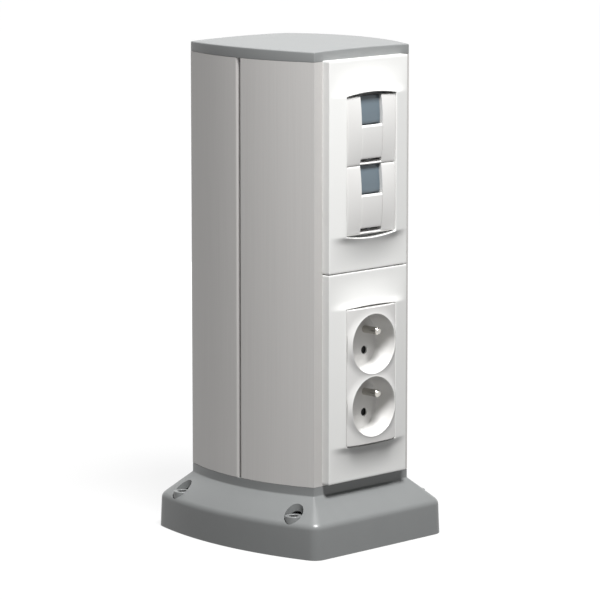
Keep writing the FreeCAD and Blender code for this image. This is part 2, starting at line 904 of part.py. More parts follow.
def panel_shell(body, low, high):
    """The flat tray of a panel: a front wall with walls all round it."""
    block_sketch = sketch_on(body, "XZ_Plane", S.half_depth)
    draw(block_sketch, rectangle((-S.panel_half, S.panel_half), (low, high)))
    pad(body, block_sketch, S.panel_depth)
    hollow = sketch_on(body, "XZ_Plane", S.half_depth)
    inner = S.panel_half - S.panel_wall
    draw(hollow, rectangle((-inner, inner), (low + S.panel_wall, high - S.panel_wall)))
    pocket(body, hollow, S.panel_depth - S.panel_wall, reverse=True)


def swell_section(body, level):
    """The panel's front beside a window: sides that slope up to the devices."""
    sketch = sketch_on(body, "XY_Plane", level)
    root_face = S.panel_face - S.panel_wall / 2
    draw(sketch, [
        (-S.panel_half, -root_face), (-S.panel_half, -S.panel_face),
        (-S.module / 2, -S.panel_face - S.swell), (S.module / 2, -S.panel_face - S.swell),
        (S.panel_half, -S.panel_face), (S.panel_half, -root_face),
    ])
    return sketch


def hump_section(body, level, height):
    """The panel's front above or below a window: one shallow arc from edge to edge."""
    sketch = sketch_on(body, "XY_Plane", level)
    root_face = S.panel_face - S.panel_wall / 2
    radius = circle_radius(S.panel_half, height)
    draw(sketch, [(-S.panel_half, -S.panel_face, 1, radius), (S.panel_half, -S.panel_face),
                  (S.panel_half, -root_face), (-S.panel_half, -root_face)])
    return sketch


def swelling(body, ends, opening, arch):
    """The panel swells evenly beside its window and dies out in a hollow curve towards its ends."""
    section_count = 4
    window_ends = (opening[0] - arch, opening[1] + arch)
    faded = (ends[0] + S.swell_margin, ends[1] - S.swell_margin)
    for start, end in zip(window_ends, faded):
        sections = []
        for step in range(section_count + 1):
            share = step / section_count
            level = start + (end - start) * share
            sections.append(hump_section(body, level, S.hump * ((1 - share) * (1 - share)) + S.swell_end))
        loft(body, sections, ruled=False)
    middle = swell_section(body, window_ends[0])
    pad(body, middle, window_ends[1] - window_ends[0])


def window(body, low, high, arch):
    half = S.module / 2 + S.panel_inset
    sketch = sketch_on(body, "XZ_Plane", S.half_depth - OVERRUN)
    radius = circle_radius(half, arch)
    draw(sketch, [(half, low), (half, high, 1, radius), (-half, high), (-half, low, 1, radius)])
    pocket(body, sketch, S.panel_depth + S.hump + 2 * OVERRUN, reverse=True)


def front_panel(name, low, high, opening, arch):
    body = new_body(name)
    panel_shell(body, low, high)
    swelling(body, (low, high), opening, arch)
    window(body, opening[0], opening[1], arch)
    add_hooks(body, (low + S.hook_from_end, high - S.hook_from_end), S.panel_face - S.panel_wall / 2)


def rear_panel():
    body = new_body("rear_panel")
    panel_shell(body, S.panel_bottom, S.panel_top)
    middle = (S.panel_bottom + S.panel_top) / 2
    levels = (S.panel_bottom + S.hook_from_end, middle, S.panel_top - S.hook_from_end)
    add_hooks(body, levels, S.panel_face - S.panel_wall / 2)
    body.Placement = FreeCAD.Placement(FreeCAD.Vector(), FreeCAD.Rotation(UP, 180))


def carrier(name, low):
    """A frame behind the panel that sits on the jambs, clips into the mouth and holds the devices."""
    high = low + 2 * S.module
    front = S.panel_face - S.panel_wall
    body = new_body(name)
    flange = sketch_on(body, "XZ_Plane", S.half_depth)
    draw(flange, rectangle((-S.carrier_half, S.carrier_half), (low - S.carrier_edge, high + S.carrier_edge)))
    pad(body, flange, front - S.half_depth)
    half = S.module / 2 + S.device_gap
    collar_half = half + S.carrier_collar
    collar = sketch_on(body, "XZ_Plane", S.carrier_back)
    draw(collar, rectangle((-collar_half, collar_half), (low - S.carrier_collar, high + S.carrier_collar)))
    pad(body, collar, S.carrier_depth)
    opening = sketch_on(body, "XZ_Plane", S.carrier_back - OVERRUN)
    draw(opening, rectangle((-half, half), (low - S.device_gap, high + S.device_gap)))
    pocket(body, opening, front - S.carrier_back + 2 * OVERRUN, reverse=True)
    middle = (low + high) / 2
    add_hooks(body, (middle - S.module / 2, middle + S.module / 2), front)


# Data sockets

def crowned_block(half, low, high, back):
    """A block whose front is gently crowned from top to bottom over one module's height."""
    sketch = free_sketch(-half, "x")
    edge = S.device_face - S.device_crown
    radius = circle_radius((high - low) / 2, S.device_crown)
    draw(sketch, [(-back, low), (-back, high), (-edge, high, 1, radius), (-edge, low)])
    return extrusion(sketch, 2 * half, RIGHT)


def wedge(half, points):
    """A prism across the device's middle, from an outline in the side view."""
    side = free_sketch(-half, "x")
    draw(side, points)
    return extrusion(side, 2 * half, RIGHT)


def data_socket(label, bottom):
    low = bottom + S.device_gap
    high = bottom + S.module - S.device_gap
    jack_high = high - S.top_bar - S.jack_top_gap
    jack_low = jack_high - S.jack_height
    data_frame(label, low, high, (jack_low, jack_high))
    tail = data_shutter(label, low, high)
    return_spring(label, low + S.sill, tail)
    data_jack(label, (jack_low, jack_high))


def data_frame(label, low, high, jack):
    half = S.module / 2 - S.device_gap
    wall_front = S.frame_back + S.frame_wall
    groove = S.strip_half + S.groove_depth
    groove_front = S.shutter_face + S.slide_gap
    groove_back = S.shutter_back - S.slide_gap
    far = S.device_face + OVERRUN
    opened = S.jack_half + S.jack_fit
    sill_front = S.device_face - S.device_crown
    frame = cut(
        crowned_block(half, low, high, S.frame_back),
        block((-S.strip_half, S.strip_half), (-far, -wall_front), (low + S.sill, high - S.top_bar)),
        block((-S.strip_half, S.strip_half), (-far, -groove_back),
              (high - S.top_bar - OVERRUN, high + OVERRUN)),
        block((-groove, groove), (-groove_front, -groove_back), (low + S.sill, high + OVERRUN)),
        block((-opened, opened), (-wall_front - OVERRUN, -S.frame_back + OVERRUN),
              (jack[0] - S.jack_fit, jack[1] + S.jack_fit)),
        wedge(S.strip_half, [(-far, low + S.sill_face), (-sill_front, low + S.sill_face),
                             (-sill_front + S.sill_ramp, low + S.sill),
                             (-sill_front + S.sill_ramp, low + S.sill + OVERRUN),
                             (-far, low + S.sill + OVERRUN)]),
    )
    node("data_frame_" + label, frame)


def data_shutter(label, low, high):
    """The shutter hangs in the cheeks' grooves, its lower end dished inwards behind the label strip."""
    shown_end = high - S.shutter_shown
    tail = shown_end - S.shutter_tail
    top = high - S.slide_gap
    face, back = S.shutter_face, S.shutter_back
    bend = shown_end + S.shutter_tail
    plate = wedge(S.strip_half - S.slide_gap, [
        (-back, top), (-face, top), (-face, bend), (-face + S.shutter_dish, tail),
        (-back + S.shutter_dish, tail), (-back, bend)])
    tongue = S.strip_half + S.groove_depth - S.slide_gap
    tongues = block((-tongue, tongue), (-face, -back), (bend, top - S.top_bar))
    foot = block((-S.shutter_foot_half, S.shutter_foot_half), (-back, -back + S.shutter_foot),
                 (tail, tail + S.shutter_foot_wall))
    node("data_shutter_" + label, fuse(plate, tongues, foot))

    # The label strip closes the lower part, in front of the shutter's way
    groove_front = S.shutter_face + S.slide_gap
    far = S.device_face + OVERRUN
    strip = crowned_block(S.strip_half - S.jack_fit, low, high, S.shutter_back - S.slide_gap)
    keep = block((-S.strip_half, S.strip_half), (-far, -groove_front),
                 (low + S.sill + S.slot_height, shown_end))
    edge = wedge(S.strip_half, [(-far, shown_end - S.label_chamfer - OVERRUN),
                                (-S.device_face + S.label_chamfer + OVERRUN, shown_end + OVERRUN),
                                (-far, shown_end + OVERRUN)])
    node("label_panel_" + label, cut(common(strip, keep), edge))
    return tail


def return_spring(label, low, high):
    """A flat wire bent to and fro between the sill and the shutter's foot."""
    leg_count = 7
    pitch = (high - low - S.spring_wire) / (leg_count - 1)
    path = []
    for leg in range(leg_count):
        way = 1 if leg % 2 == 0 else -1
        level = low + S.spring_wire / 2 + pitch * leg
        path.append((-S.spring_half * way, level))
        path.append((S.spring_half * way, level))
    centre = S.shutter_back - S.shutter_foot / 2
    sketch = free_sketch(-centre + S.spring_depth / 2, "y")
    draw(sketch, ribbon(path, S.spring_wire))
    node("shutter_spring_" + label, extrusion(sketch, S.spring_depth, FORWARD))


def ribbon(path, width):
    """Outline of a wire along a path of right angles: out along its right side and back along its left."""
    ways = []
    for (x0, z0), (x1, z1) in zip(path, path[1:]):
        across, up = (x1 - x0).value, (z1 - z0).value
        ways.append((math.copysign(1, across), 0) if abs(across) > abs(up) else (0, math.copysign(1, up)))
    sides = {1: [], -1: []}
    for index, (x, z) in enumerate(path):
        met = ways[max(index - 1, 0):index + 1]
        out_x = sum(up for _, up in met)
        out_z = -sum(across for across, _ in met)
        for side, points in sides.items():
            points.append((x + width * (side * out_x / 2), z + width * (side * out_z / 2)))
    return sides[1] + sides[-1][::-1]


def data_jack(label, heights):
    """The jack, seated with its flange on the frame's rear wall, its contacts and its wire cap."""
    low, high = heights
    wall_front = S.frame_back + S.frame_wall
    port = (low + S.port_rise, low + S.port_rise + S.port_height)
    mouth = (-S.jack_front - OVERRUN, -S.jack_front + S.port_depth)
    cap_half = S.jack_half + S.jack_flange
    jack = cut(
        fuse(block((-cap_half, cap_half), (-S.jack_front, -wall_front),
                   (low - S.jack_flange, high + S.jack_top_gap - S.jack_fit)),
             block((-S.jack_half, S.jack_half), (-wall_front, -S.jack_back), (low, high))),
        block((-S.port_half, S.port_half), mouth, port),
        block((-S.latch_half, S.latch_half), mouth, (port[0] - S.latch_height, port[0] + OVERRUN)),
    )
    node("jack_" + label, jack)
    contacts = []
    for index in range(8):
        x = S.contact_pitch * (index - 3.5)
        contacts.append(block((x - S.contact_width / 2, x + S.contact_width / 2),
                              (-S.jack_front + S.contact_set_back, -S.jack_front + S.port_depth),
                              (port[1] - S.contact_width, port[1])))
    node("jack_contacts_" + label, group(contacts))
    slots = []
    depth = (-S.jack_back - OVERRUN, -S.jack_back + S.wire_slot_length)
    for z in ((low - OVERRUN, low + S.wire_slot_depth), (high - S.wire_slot_depth, high + OVERRUN)):
        for step in range(4):
            x = S.wire_slot_pitch * (step - 1.5)
            slots.append(block((x - S.wire_slot / 2, x + S.wire_slot / 2), depth, z))
    node("wire_cap_" + label, cut(block((-cap_half, cap_half), (-S.jack_back, -S.jack_back + S.wire_cap_length),
                                        (low, high)), *slots))


# Power sockets

def well_levels():
    return {"upper": S.power_middle + S.well_pitch / 2, "lower": S.power_middle - S.well_pitch / 2}


DIAGONAL = math.sqrt(0.5)


def socket_front():
    low = S.power_bottom + S.device_gap
    high = S.power_bottom + 2 * S.module - S.device_gap
    half = S.module / 2 - S.device_gap
    inner = half - S.skirt_wall
    skin_back = S.device_face - S.plate_skin
    box = cut(block((-half, half), (-S.device_face, -S.frame_back), (low, high)),
              block((-inner, inner), (-skin_back, -S.frame_back + OVERRUN),
                    (low + S.skirt_wall, high - S.skirt_wall)))
    pillows, cups, holes = [], [], []
    floor = (-S.cup_floor - OVERRUN, -S.housing_front + OVERRUN)
    for level in well_levels().values():
        rim = S.rim_radius + S.rim_land
        pillows.append(taper("y", (0.0, level), (-S.rim_face, -skin_back), rim, S.pillow_radius))
        cups.append(rod("y", (0.0, level), (-skin_back - S.plate_skin / 2, -S.housing_front),
                        S.rim_radius + S.cup_wall))
        holes.append(drafted_well(level))
        for place in (S.pin_hole_reach * DIAGONAL, -S.pin_hole_reach * DIAGONAL):
            holes.append(rod("y", (place, level - place), floor, S.pin_hole_radius))
        place = S.earth_reach * DIAGONAL
        holes.append(rod("y", (place, level + place), floor, S.earth_shank))
    outline = block((-half, half), (-S.rim_face - OVERRUN, -S.frame_back), (low, high))
    front = fuse(box, common(fuse(*pillows), outline), *cups)
    node("socket_plate", cut(front, *holes))


def drafted_well(level):
    """The room for a plug, a little narrower at its floor."""
    sections = []
    for face, radius in ((S.rim_face, S.rim_radius), (S.cup_floor, S.cup_floor_radius)):
        sections.append(free_sketch(-face, "y"))
        draw_circle(sections[-1], 0.0, level, radius)
    room = add("Part::Loft", "Well")
    room.Sections = sections
    room.Solid = True
    room.Ruled = True
    return room


def socket_housing():
    front = S.housing_front
    room = front - S.housing_front_wall
    recess = front - S.shutter_room
    inner = S.housing_half - S.housing_wall
    heights = (S.power_middle - S.housing_half_height, S.power_middle + S.housing_half_height)
    shell = block((-S.housing_half, S.housing_half), (-front, -S.housing_back), heights)
    tools = [block((-inner, inner), (-room, -S.housing_back + OVERRUN),
                   (heights[0] + S.housing_wall, heights[1] - S.housing_wall))]
    spigots = []
    behind = (-recess - OVERRUN, -room + OVERRUN)
    for level in well_levels().values():
        room_half = S.safety_room_half
        tools.append(block((-room_half, room_half), (-front - OVERRUN, -recess),
                           (level - room_half, level + room_half)))
        tools.append(rod("y", (0.0, level), (-recess - OVERRUN, -recess + S.coil_room), S.coil_room_radius))
        passage = S.sleeve_outer + S.clip_gap
        for place in (S.pin_hole_reach * DIAGONAL, -S.pin_hole_reach * DIAGONAL):
            tools.append(block((place - passage, place + passage), behind,
                               (level - place - passage, level - place + passage)))
        place = S.earth_reach * DIAGONAL
        tools.append(rod("y", (place, level + place), behind, S.earth_shank))
        spigots.append(rod("y", (0.0, level), (-front + S.clip_gap, -room), S.spigot_radius))
    node("socket_housing", fuse(cut(shell, *tools), *spigots))

    # Rear cover, with a square hole over each terminal screw
    middle = S.terminal_low + S.terminal_size / 2
    holes = [block((x - S.terminal_head, x + S.terminal_head),
                   (-S.housing_back - OVERRUN, -S.housing_back + S.housing_wall + OVERRUN),
                   (middle - S.terminal_head, middle + S.terminal_head))
             for x in terminal_places().values()]
    slab = block((-S.housing_half, S.housing_half), (-S.housing_back, -S.housing_back + S.housing_wall),
                 heights)
    node("housing_cover", cut(slab, *holes))


def terminal_places():
    outer = S.bar_inner + S.bar_width / 2
    return {"live": -outer, "neutral": outer, "earth": size(0.0)}


def conductors():
    levels = well_levels()
    plane = (-S.bar_plane, -S.bar_plane + S.bar_wall)
    half = S.bar_width / 2
    outer = S.bar_inner + S.bar_width
    screws = []
    for name, way in (("live", -1), ("neutral", 1)):
        reach = S.pin_hole_reach * DIAGONAL
        contacts = [level - reach * way for level in levels.values()]
        strip = (S.bar_inner, outer) if way > 0 else (-outer, -S.bar_inner)
        tab = (reach, S.bar_inner) if way > 0 else (-S.bar_inner, -reach)
        reach = reach * way
        parts = [block(strip, plane, (S.terminal_low, contacts[0] + half))]
        bores = []
        for level in contacts:
            parts.append(block(tab, plane, (level - half, level + half)))
            parts.append(block((reach - S.sleeve_outer, reach + S.sleeve_outer), (-S.sleeve_front, plane[1]),
                               (level - S.sleeve_outer, level + S.sleeve_outer)))
            bores.append(block((reach - S.sleeve_inner, reach + S.sleeve_inner),
                               (-S.sleeve_front - OVERRUN, plane[0]),
                               (level - S.sleeve_inner, level + S.sleeve_inner)))
            bores.append(block((reach - S.sleeve_outer - OVERRUN, reach + S.sleeve_outer + OVERRUN),
                               (-S.sleeve_front - OVERRUN, plane[0] - S.bar_wall),
                               (level - S.sleeve_slot / 2, level + S.sleeve_slot / 2)))
        add_terminal(parts, bores, screws, terminal_places()[name], plane[0])
        node(name + "_bar", cut(fuse(*parts), *bores))
    earth_plane = (-S.earth_bar_plane, -S.earth_bar_plane + S.bar_wall)
    reach = S.earth_reach * DIAGONAL
    strip = [block((reach - half, reach + half), earth_plane,
                   (S.terminal_low, levels["upper"] + reach + half)),
             block((0.0, reach), earth_plane, (S.terminal_low, S.terminal_low + S.terminal_size))]
    bores = []
    add_terminal(strip, bores, screws, terminal_places()["earth"], earth_plane[0])
    node("earth_bar", cut(fuse(*strip), *bores))
    node("terminal_screws", group(screws))
    for label, level in levels.items():
        earth_pin(label, (reach, level + reach))


def earth_pin(label, place):
    """A pin that stands on the well's floor, with a thinner shank back to the earth bar."""
    body_end = -S.earth_tip + S.earth_tip_taper
    node("earth_pin_" + label, fuse(
        rod("y", place, (-S.cup_floor, -S.earth_bar_plane), S.earth_shank),
        rod("y", place, (body_end, -S.cup_floor), S.earth_radius),
        taper("y", place, (-S.earth_tip, body_end), S.earth_radius - S.earth_tip_step, S.earth_radius)))


def add_terminal(parts, bores, screws, x, front):
    """A terminal block behind a bar, its screw hole, and the screw that stands in it."""
    half = S.terminal_size / 2
    z = S.terminal_low + half
    back = front + S.terminal_depth
    parts.append(block((x - half, x + half), (front, back), (S.terminal_low, S.terminal_low + S.terminal_size)))
    bores.append(rod("y", (x, z), (front + S.bar_wall, back + OVERRUN), S.terminal_screw))
    shank = rod("y", (x, z), (front + S.bar_wall, back), S.terminal_screw)
    head = hexagon("y", (x, z), (back, back + S.terminal_head_height), S.terminal_head - S.bolt_clearance)
    screws.append(fuse(shank, head))


def safety_shutters():
    """A two-armed plate that turns on the housing's spigot to bare the pin holes, and its coil."""
    face = -S.housing_front + S.clip_gap
    back = face + S.safety_wall
    for label, level in well_levels().items():
        outline = free_sketch(back, "y")
        draw(outline, arm_plan(level))
        arm = extrusion(outline, S.safety_wall, FORWARD)
        bore = rod("y", (0.0, level), (face - OVERRUN, back + OVERRUN), S.spigot_radius + S.spigot_fit)
        node("safety_shutter_" + label, cut(arm, bore))
        coil = free_sketch(-S.housing_front + S.shutter_room + S.coil_room, "y")
        draw(coil, open_coil(level))
        node("safety_spring_" + label, extrusion(coil, S.coil_width, FORWARD))


def arm_plan(level):
    """An arm across both pin holes, on the well's diagonal, with broken corners."""
    wide = S.safety_pad
    long = S.pin_hole_reach + S.safety_pad
    broken = wide / 2
    quarter = [(long - broken, wide), (long, wide - broken)]
    half = quarter + [(long, -wide + broken), (long - broken, -wide)]
    around = half + [(-along, -across) for along, across in half]
    return [((across + along) * DIAGONAL, level + (across - along) * DIAGONAL) for along, across in around]


def open_coil(level):
    """Outline of a flat wire wound once round the spigot, its end drawn in."""
    turns = [(1, size(0.0), S.coil_radius), (-1, -S.coil_pitch / 2, S.coil_radius - S.coil_pitch / 2)]
    points = []
    for way, centre, radius in turns:
        outer = radius + S.coil_wire / 2
        points.append((centre + outer * way, level, 1, outer))
        points.append((centre, level + outer * way, 1, outer))
    points.append((centre - outer * way, level))
    for way, centre, radius in reversed(turns):
        inner = radius - S.coil_wire / 2
        points.append((centre - inner * way, level, -1, inner))
        points.append((centre, level + inner * way, -1, inner))
    points.append((centre + inner * way, level))
    return points


def earth_clamp():
    front = -S.web_wall - S.clamp_depth
    middle = (S.clamp_side + S.clamp_width / 2, S.clamp_low + S.clamp_width / 2)
    body = block((S.clamp_side, S.clamp_side + S.clamp_width), (front, -S.web_wall),
                 (S.clamp_low, S.clamp_low + S.clamp_width))
    wire = rod("z", (middle[0], front + S.clamp_depth / 2),
               (S.clamp_low - OVERRUN, S.clamp_low + S.clamp_width + OVERRUN), S.clamp_hole)
    head = hexagon("y", middle, (front - S.clamp_head_height, front), S.bolt_head_radius)
    node("earth_clamp", fuse(cut(body, wire), head))


# The whole column

def build():
    base_plate()
    cable_grommet()
    base_cover()
    cover_fasteners()
    column_foot()
    column_profile("front_profile", turned=False)
    column_profile("rear_profile", turned=True)
    web_fasteners()
    top_cap()
    power = (S.power_bottom, S.power_bottom + 2 * S.module)
    data = (S.data_bottom, S.data_bottom + 2 * S.module)
    front_panel("lower_panel", S.panel_bottom, S.panel_split - S.panel_joint / 2, power, S.lower_arch)
    front_panel("upper_panel", S.panel_split + S.panel_joint / 2, S.panel_top, data, S.upper_arch)
    rear_panel()
    carrier("lower_carrier", S.power_bottom)
    carrier("upper_carrier", S.data_bottom)
    data_socket("upper", S.data_bottom + S.module)
    data_socket("lower", S.data_bottom)
    socket_front()
    socket_housing()
    conductors()
    safety_shutters()
    earth_clamp()
    DOC.recompute()


def check():
    for thing in DOC.Objects:
        if "Invalid" in thing.State or "Error" in thing.State:
            raise RuntimeError(f"{thing.Label} ({thing.Name}) is {thing.State}")
    for name, thing in NODES.items():
        if thing.Shape.isNull() or not thing.Shape.isValid():
            raise RuntimeError(f"{name} has no valid shape")
        if not thing.Shape.Solids:
            raise RuntimeError(f"{name} has no solid")


def write():
    os.makedirs("parts", exist_ok=True)
    for name, thing in NODES.items():
        thing.Shape.exportStep(f"parts/{name}.step")
        print(name, len(thing.Shape.Solids), round(thing.Shape.Volume, 1))


build()
check()
write()
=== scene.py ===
import json
import math

import bmesh
import bpy
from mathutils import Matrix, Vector

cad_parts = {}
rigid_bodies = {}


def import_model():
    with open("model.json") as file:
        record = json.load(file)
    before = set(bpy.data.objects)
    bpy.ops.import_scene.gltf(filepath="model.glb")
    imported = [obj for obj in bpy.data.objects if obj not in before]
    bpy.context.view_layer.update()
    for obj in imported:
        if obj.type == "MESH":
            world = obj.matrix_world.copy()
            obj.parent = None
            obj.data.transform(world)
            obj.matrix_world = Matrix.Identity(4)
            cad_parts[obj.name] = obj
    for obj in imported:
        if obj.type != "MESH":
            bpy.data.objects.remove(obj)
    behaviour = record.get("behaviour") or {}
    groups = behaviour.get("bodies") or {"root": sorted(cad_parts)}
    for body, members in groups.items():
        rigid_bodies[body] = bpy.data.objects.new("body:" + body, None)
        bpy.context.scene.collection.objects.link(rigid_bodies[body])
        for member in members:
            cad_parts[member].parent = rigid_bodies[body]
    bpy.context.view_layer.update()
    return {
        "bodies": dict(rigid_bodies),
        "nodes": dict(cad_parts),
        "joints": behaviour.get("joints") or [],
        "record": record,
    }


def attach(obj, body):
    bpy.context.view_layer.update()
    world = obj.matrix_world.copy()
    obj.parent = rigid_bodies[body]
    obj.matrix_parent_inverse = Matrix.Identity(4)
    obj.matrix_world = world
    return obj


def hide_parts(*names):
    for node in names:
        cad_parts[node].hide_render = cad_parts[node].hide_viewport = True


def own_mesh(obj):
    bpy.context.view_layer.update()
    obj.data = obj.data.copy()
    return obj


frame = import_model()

MM = 0.001
NODES = frame["nodes"]


# Colour and shader helpers

def linear(code):
    """An sRGB hex colour as linear red, green, blue and full alpha."""
    shares = [int(code[place:place + 2], 16) / 255 for place in (1, 3, 5)]
    curved = [share / 12.92 if share <= 0.04045 else ((share + 0.055) / 1.055) ** 2.4 for share in shares]
    return (*curved, 1.0)


def add(tree, kind, settings=None, links=None):
    """Adds one shader node. A setting goes to the input of that name or number, or else to the property."""
    made = tree.nodes.new(kind)
    for name, value in (settings or {}).items():
        if isinstance(name, int) or name in made.inputs.keys():
            made.inputs[name].default_value = value
        else:
            setattr(made, name, value)
    for name, socket in (links or {}).items():
        tree.links.new(socket, made.inputs[name])
    return made


def finish_of(name, shader):
    """A new material with its principled shader set, its tree and where its surface stands, in metres."""
    material = bpy.data.materials.new(name)
    material.use_nodes = True
    tree = material.node_tree
    tree.nodes.clear()
    surface = add(tree, "ShaderNodeBsdfPrincipled", shader)
    add(tree, "ShaderNodeOutputMaterial", links={"Surface": surface.outputs[0]})
    place = add(tree, "ShaderNodeTexCoord").outputs["Object"]
    return material, tree, surface, place


def per_metre(size_mm):
    """The scale that makes a pattern's features as large as a real size."""
    return 1 / (size_mm * MM)


def mottle(tree, place, surface, pale, dark, size_mm, rough):
    """Slow changes of tone and gloss over a surface, as a moulding or a coating has them."""
    cloud = add(tree, "ShaderNodeTexNoise", {"Scale": per_metre(size_mm), "Detail": 3.0}, {"Vector": place})
    tone = add(tree, "ShaderNodeMix", {"data_type": "RGBA", 6: linear(dark), 7: linear(pale)},
               {0: cloud.outputs["Fac"]})
    tree.links.new(tone.outputs[2], surface.inputs["Base Color"])
    gloss = add(tree, "ShaderNodeMapRange", {"To Min": rough[0], "To Max": rough[1]},
                {0: cloud.outputs["Fac"]})
    tree.links.new(gloss.outputs[0], surface.inputs["Roughness"])


def grain(tree, place, surface, size_mm, depth_mm, strength):
    """The fine texture that a mould or a blast leaves."""
    grit = add(tree, "ShaderNodeTexNoise", {"Scale": per_metre(size_mm), "Detail": 2.0}, {"Vector": place})
    bump = add(tree, "ShaderNodeBump", {"Strength": strength, "Distance": depth_mm * MM},
               {"Height": grit.outputs["Fac"]})
    tree.links.new(bump.outputs[0], surface.inputs["Normal"])


# Finishes

def anodised_aluminium():
    """Extruded aluminium, satin anodised: a soft broad sheen with faint die lines along the column."""
    material, tree, surface, place = finish_of("satin_anodised_aluminium",
                                               {"Metallic": 0.35, "Roughness": 0.55})
    along = add(tree, "ShaderNodeMapping", {"Scale": (1.0, 1.0, 0.01)}, {"Vector": place})
    # Die lines are drawn 0.8 mm apart, coarser than the real 0.1 mm, so that they show at all
    lines = add(tree, "ShaderNodeTexNoise", {"Scale": per_metre(0.8), "Detail": 2.0},
                {"Vector": along.outputs[0]})
    tone = add(tree, "ShaderNodeMix", {"data_type": "RGBA", 6: linear("#BEBCBA"), 7: linear("#C6C4C2")},
               {0: lines.outputs["Fac"]})
    tree.links.new(tone.outputs[2], surface.inputs["Base Color"])
    bump = add(tree, "ShaderNodeBump", {"Strength": 0.12, "Distance": 0.01 * MM},
               {"Height": lines.outputs["Fac"]})
    tree.links.new(bump.outputs[0], surface.inputs["Normal"])
    return material


def grey_moulding():
    """Spark-textured grey ABS: matt, with a fine grit that breaks up the highlights."""
    material, tree, surface, place = finish_of("textured_grey_abs", {"IOR": 1.53, "Specular IOR Level": 0.5})
    mottle(tree, place, surface, "#838585", "#7E8080", 14.0, (0.30, 0.36))
    # Grit is drawn at 0.5 mm, coarser than the real 0.15 mm
    grain(tree, place, surface, 0.5, 0.03, 0.25)
    return material


def white_panel():
    """White ABS moulding, satin: smooth, with a soft sheen."""
    material, tree, surface, place = finish_of("satin_white_abs", {"IOR": 1.53})
    mottle(tree, place, surface, "#EFEFED", "#EBEBE9", 22.0, (0.32, 0.36))
    grain(tree, place, surface, 0.9, 0.01, 0.08)
    return material


def device_white():
    """White polycarbonate, semi-gloss: slightly shinier than the panel around it."""
    material, tree, surface, place = finish_of("semi_gloss_white_polycarbonate", {"IOR": 1.58})
    mottle(tree, place, surface, "#E4E3E1", "#E0DFDD", 18.0, (0.22, 0.27))
    grain(tree, place, surface, 1.2, 0.006, 0.06)
    return material


def blue_grey_shutter():
    """Blue-grey polycarbonate shutter, semi-gloss: a cool dark patch with a soft shine."""
    material, tree, surface, place = finish_of("blue_grey_polycarbonate", {"IOR": 1.58})
    mottle(tree, place, surface, "#67757E", "#626F78", 10.0, (0.28, 0.34))
    return material


def plain_plastic(name, pale, dark, rough):
    """A hidden moulding in one dull colour, lightly mottled and grained."""
    material, tree, surface, place = finish_of(name, {"IOR": 1.55})
    mottle(tree, place, surface, pale, dark, 9.0, rough)
    grain(tree, place, surface, 0.5, 0.02, 0.2)
    return material


def worked_metal(name, pale, dark, rough, line_mm):
    """A turned, stamped or plated metal: bright, with fine working lines."""
    material, tree, surface, place = finish_of(name, {"Metallic": 1.0})
    mottle(tree, place, surface, pale, dark, 6.0, rough)
    # The texture's wave turns 20 radians a unit, so its bands lie 6.3 of the given size apart, coarse
    # enough to show
    lines = add(tree, "ShaderNodeTexWave",
                {"Scale": per_metre(line_mm) / 20, "Distortion": 1.5, "Detail": 1.0}, {"Vector": place})
    bump = add(tree, "ShaderNodeBump", {"Strength": 0.1, "Distance": 0.01 * MM},
               {"Height": lines.outputs["Fac"]})
    tree.links.new(bump.outputs[0], surface.inputs["Normal"])
    return material


FINISHES = {
    "anodised_aluminium": anodised_aluminium(),
    "grey_moulding": grey_moulding(),
    "white_panel": white_panel(),
    "device_white": device_white(),
    "blue_grey_shutter": blue_grey_shutter(),
    # Nickel on turned brass: a warm bright grey
    "nickel_brass": worked_metal("nickel_plated_brass", "#C9C6C0", "#BEBBB5", (0.16, 0.24), 0.3),
    # Stamped brass: yellow, half bright
    "brass": worked_metal("stamped_brass", "#D9B866", "#CBA957", (0.25, 0.35), 0.5),
    # Bright zinc plate: a cool, slightly blue grey
    "zinc_steel": worked_metal("bright_zinc_plate", "#BFC3C7", "#B2B6BB", (0.28, 0.38), 0.4),
    # Drawn spring wire: dark and smooth
    "spring_steel": worked_metal("drawn_spring_wire", "#8C8E92", "#7E8084", (0.25, 0.35), 0.3),
    # Moulded black rubber: nearly black and dull
    "rubber": plain_plastic("moulded_black_rubber", "#202020", "#1A1A1A", (0.65, 0.75)),
    # Glass-filled grey polycarbonate: dull, mid grey
    "insulation": plain_plastic("grey_polycarbonate", "#9A9C9D", "#929495", (0.45, 0.55)),
    # Black polyamide, as moulded: a dull near-black
    "dark_shutter": plain_plastic("black_polyamide", "#1C1C1D", "#161617", (0.45, 0.55)),
    # Dark polycarbonate of the jack: a dull charcoal
    "jack_body": plain_plastic("charcoal_polycarbonate", "#2A2B2C", "#242526", (0.4, 0.5)),
    # Gold flash on contact wire: yellow and bright
    "gold_contact": worked_metal("gold_flashed_wire", "#E8C56A", "#DDB95C", (0.18, 0.26), 0.3),
}


def give_finish(piece, slot):
    """Puts the finish of a material slot on a piece."""
    piece.data.materials.clear()
    piece.data.materials.append(FINISHES[slot])


for row in frame["record"]["subparts"]:
    give_finish(NODES[row["node"]], row["material_slot"])


# Mesh helpers, in millimetres

SHARP = math.radians(35.0)


def finished(name, mesh_maker, slot, body="column", replaces=()):
    """Turns a built mesh into a piece: smooth but for its sharp edges, finished and riding on its body."""
    mesh = bpy.data.meshes.new(name)
    mesh_maker.to_mesh(mesh)
    mesh_maker.free()
    mesh.shade_smooth()
    mesh.set_sharp_from_angle(angle=SHARP)
    piece = bpy.data.objects.new(name, mesh)
    bpy.context.scene.collection.objects.link(piece)
    give_finish(piece, slot)
    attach(piece, body)
    if replaces:
        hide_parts(*replaces)
    return piece


def ring(maker, points):
    """A row of corners at the points."""
    return [maker.verts.new(Vector(point) * MM) for point in points]


def strip_between(maker, first, second, closed=True):
    """Quads from one row of corners to the next."""
    count = len(first)
    for index in range(count if closed else count - 1):
        after = (index + 1) % count
        maker.faces.new((first[index], first[after], second[after], second[index]))


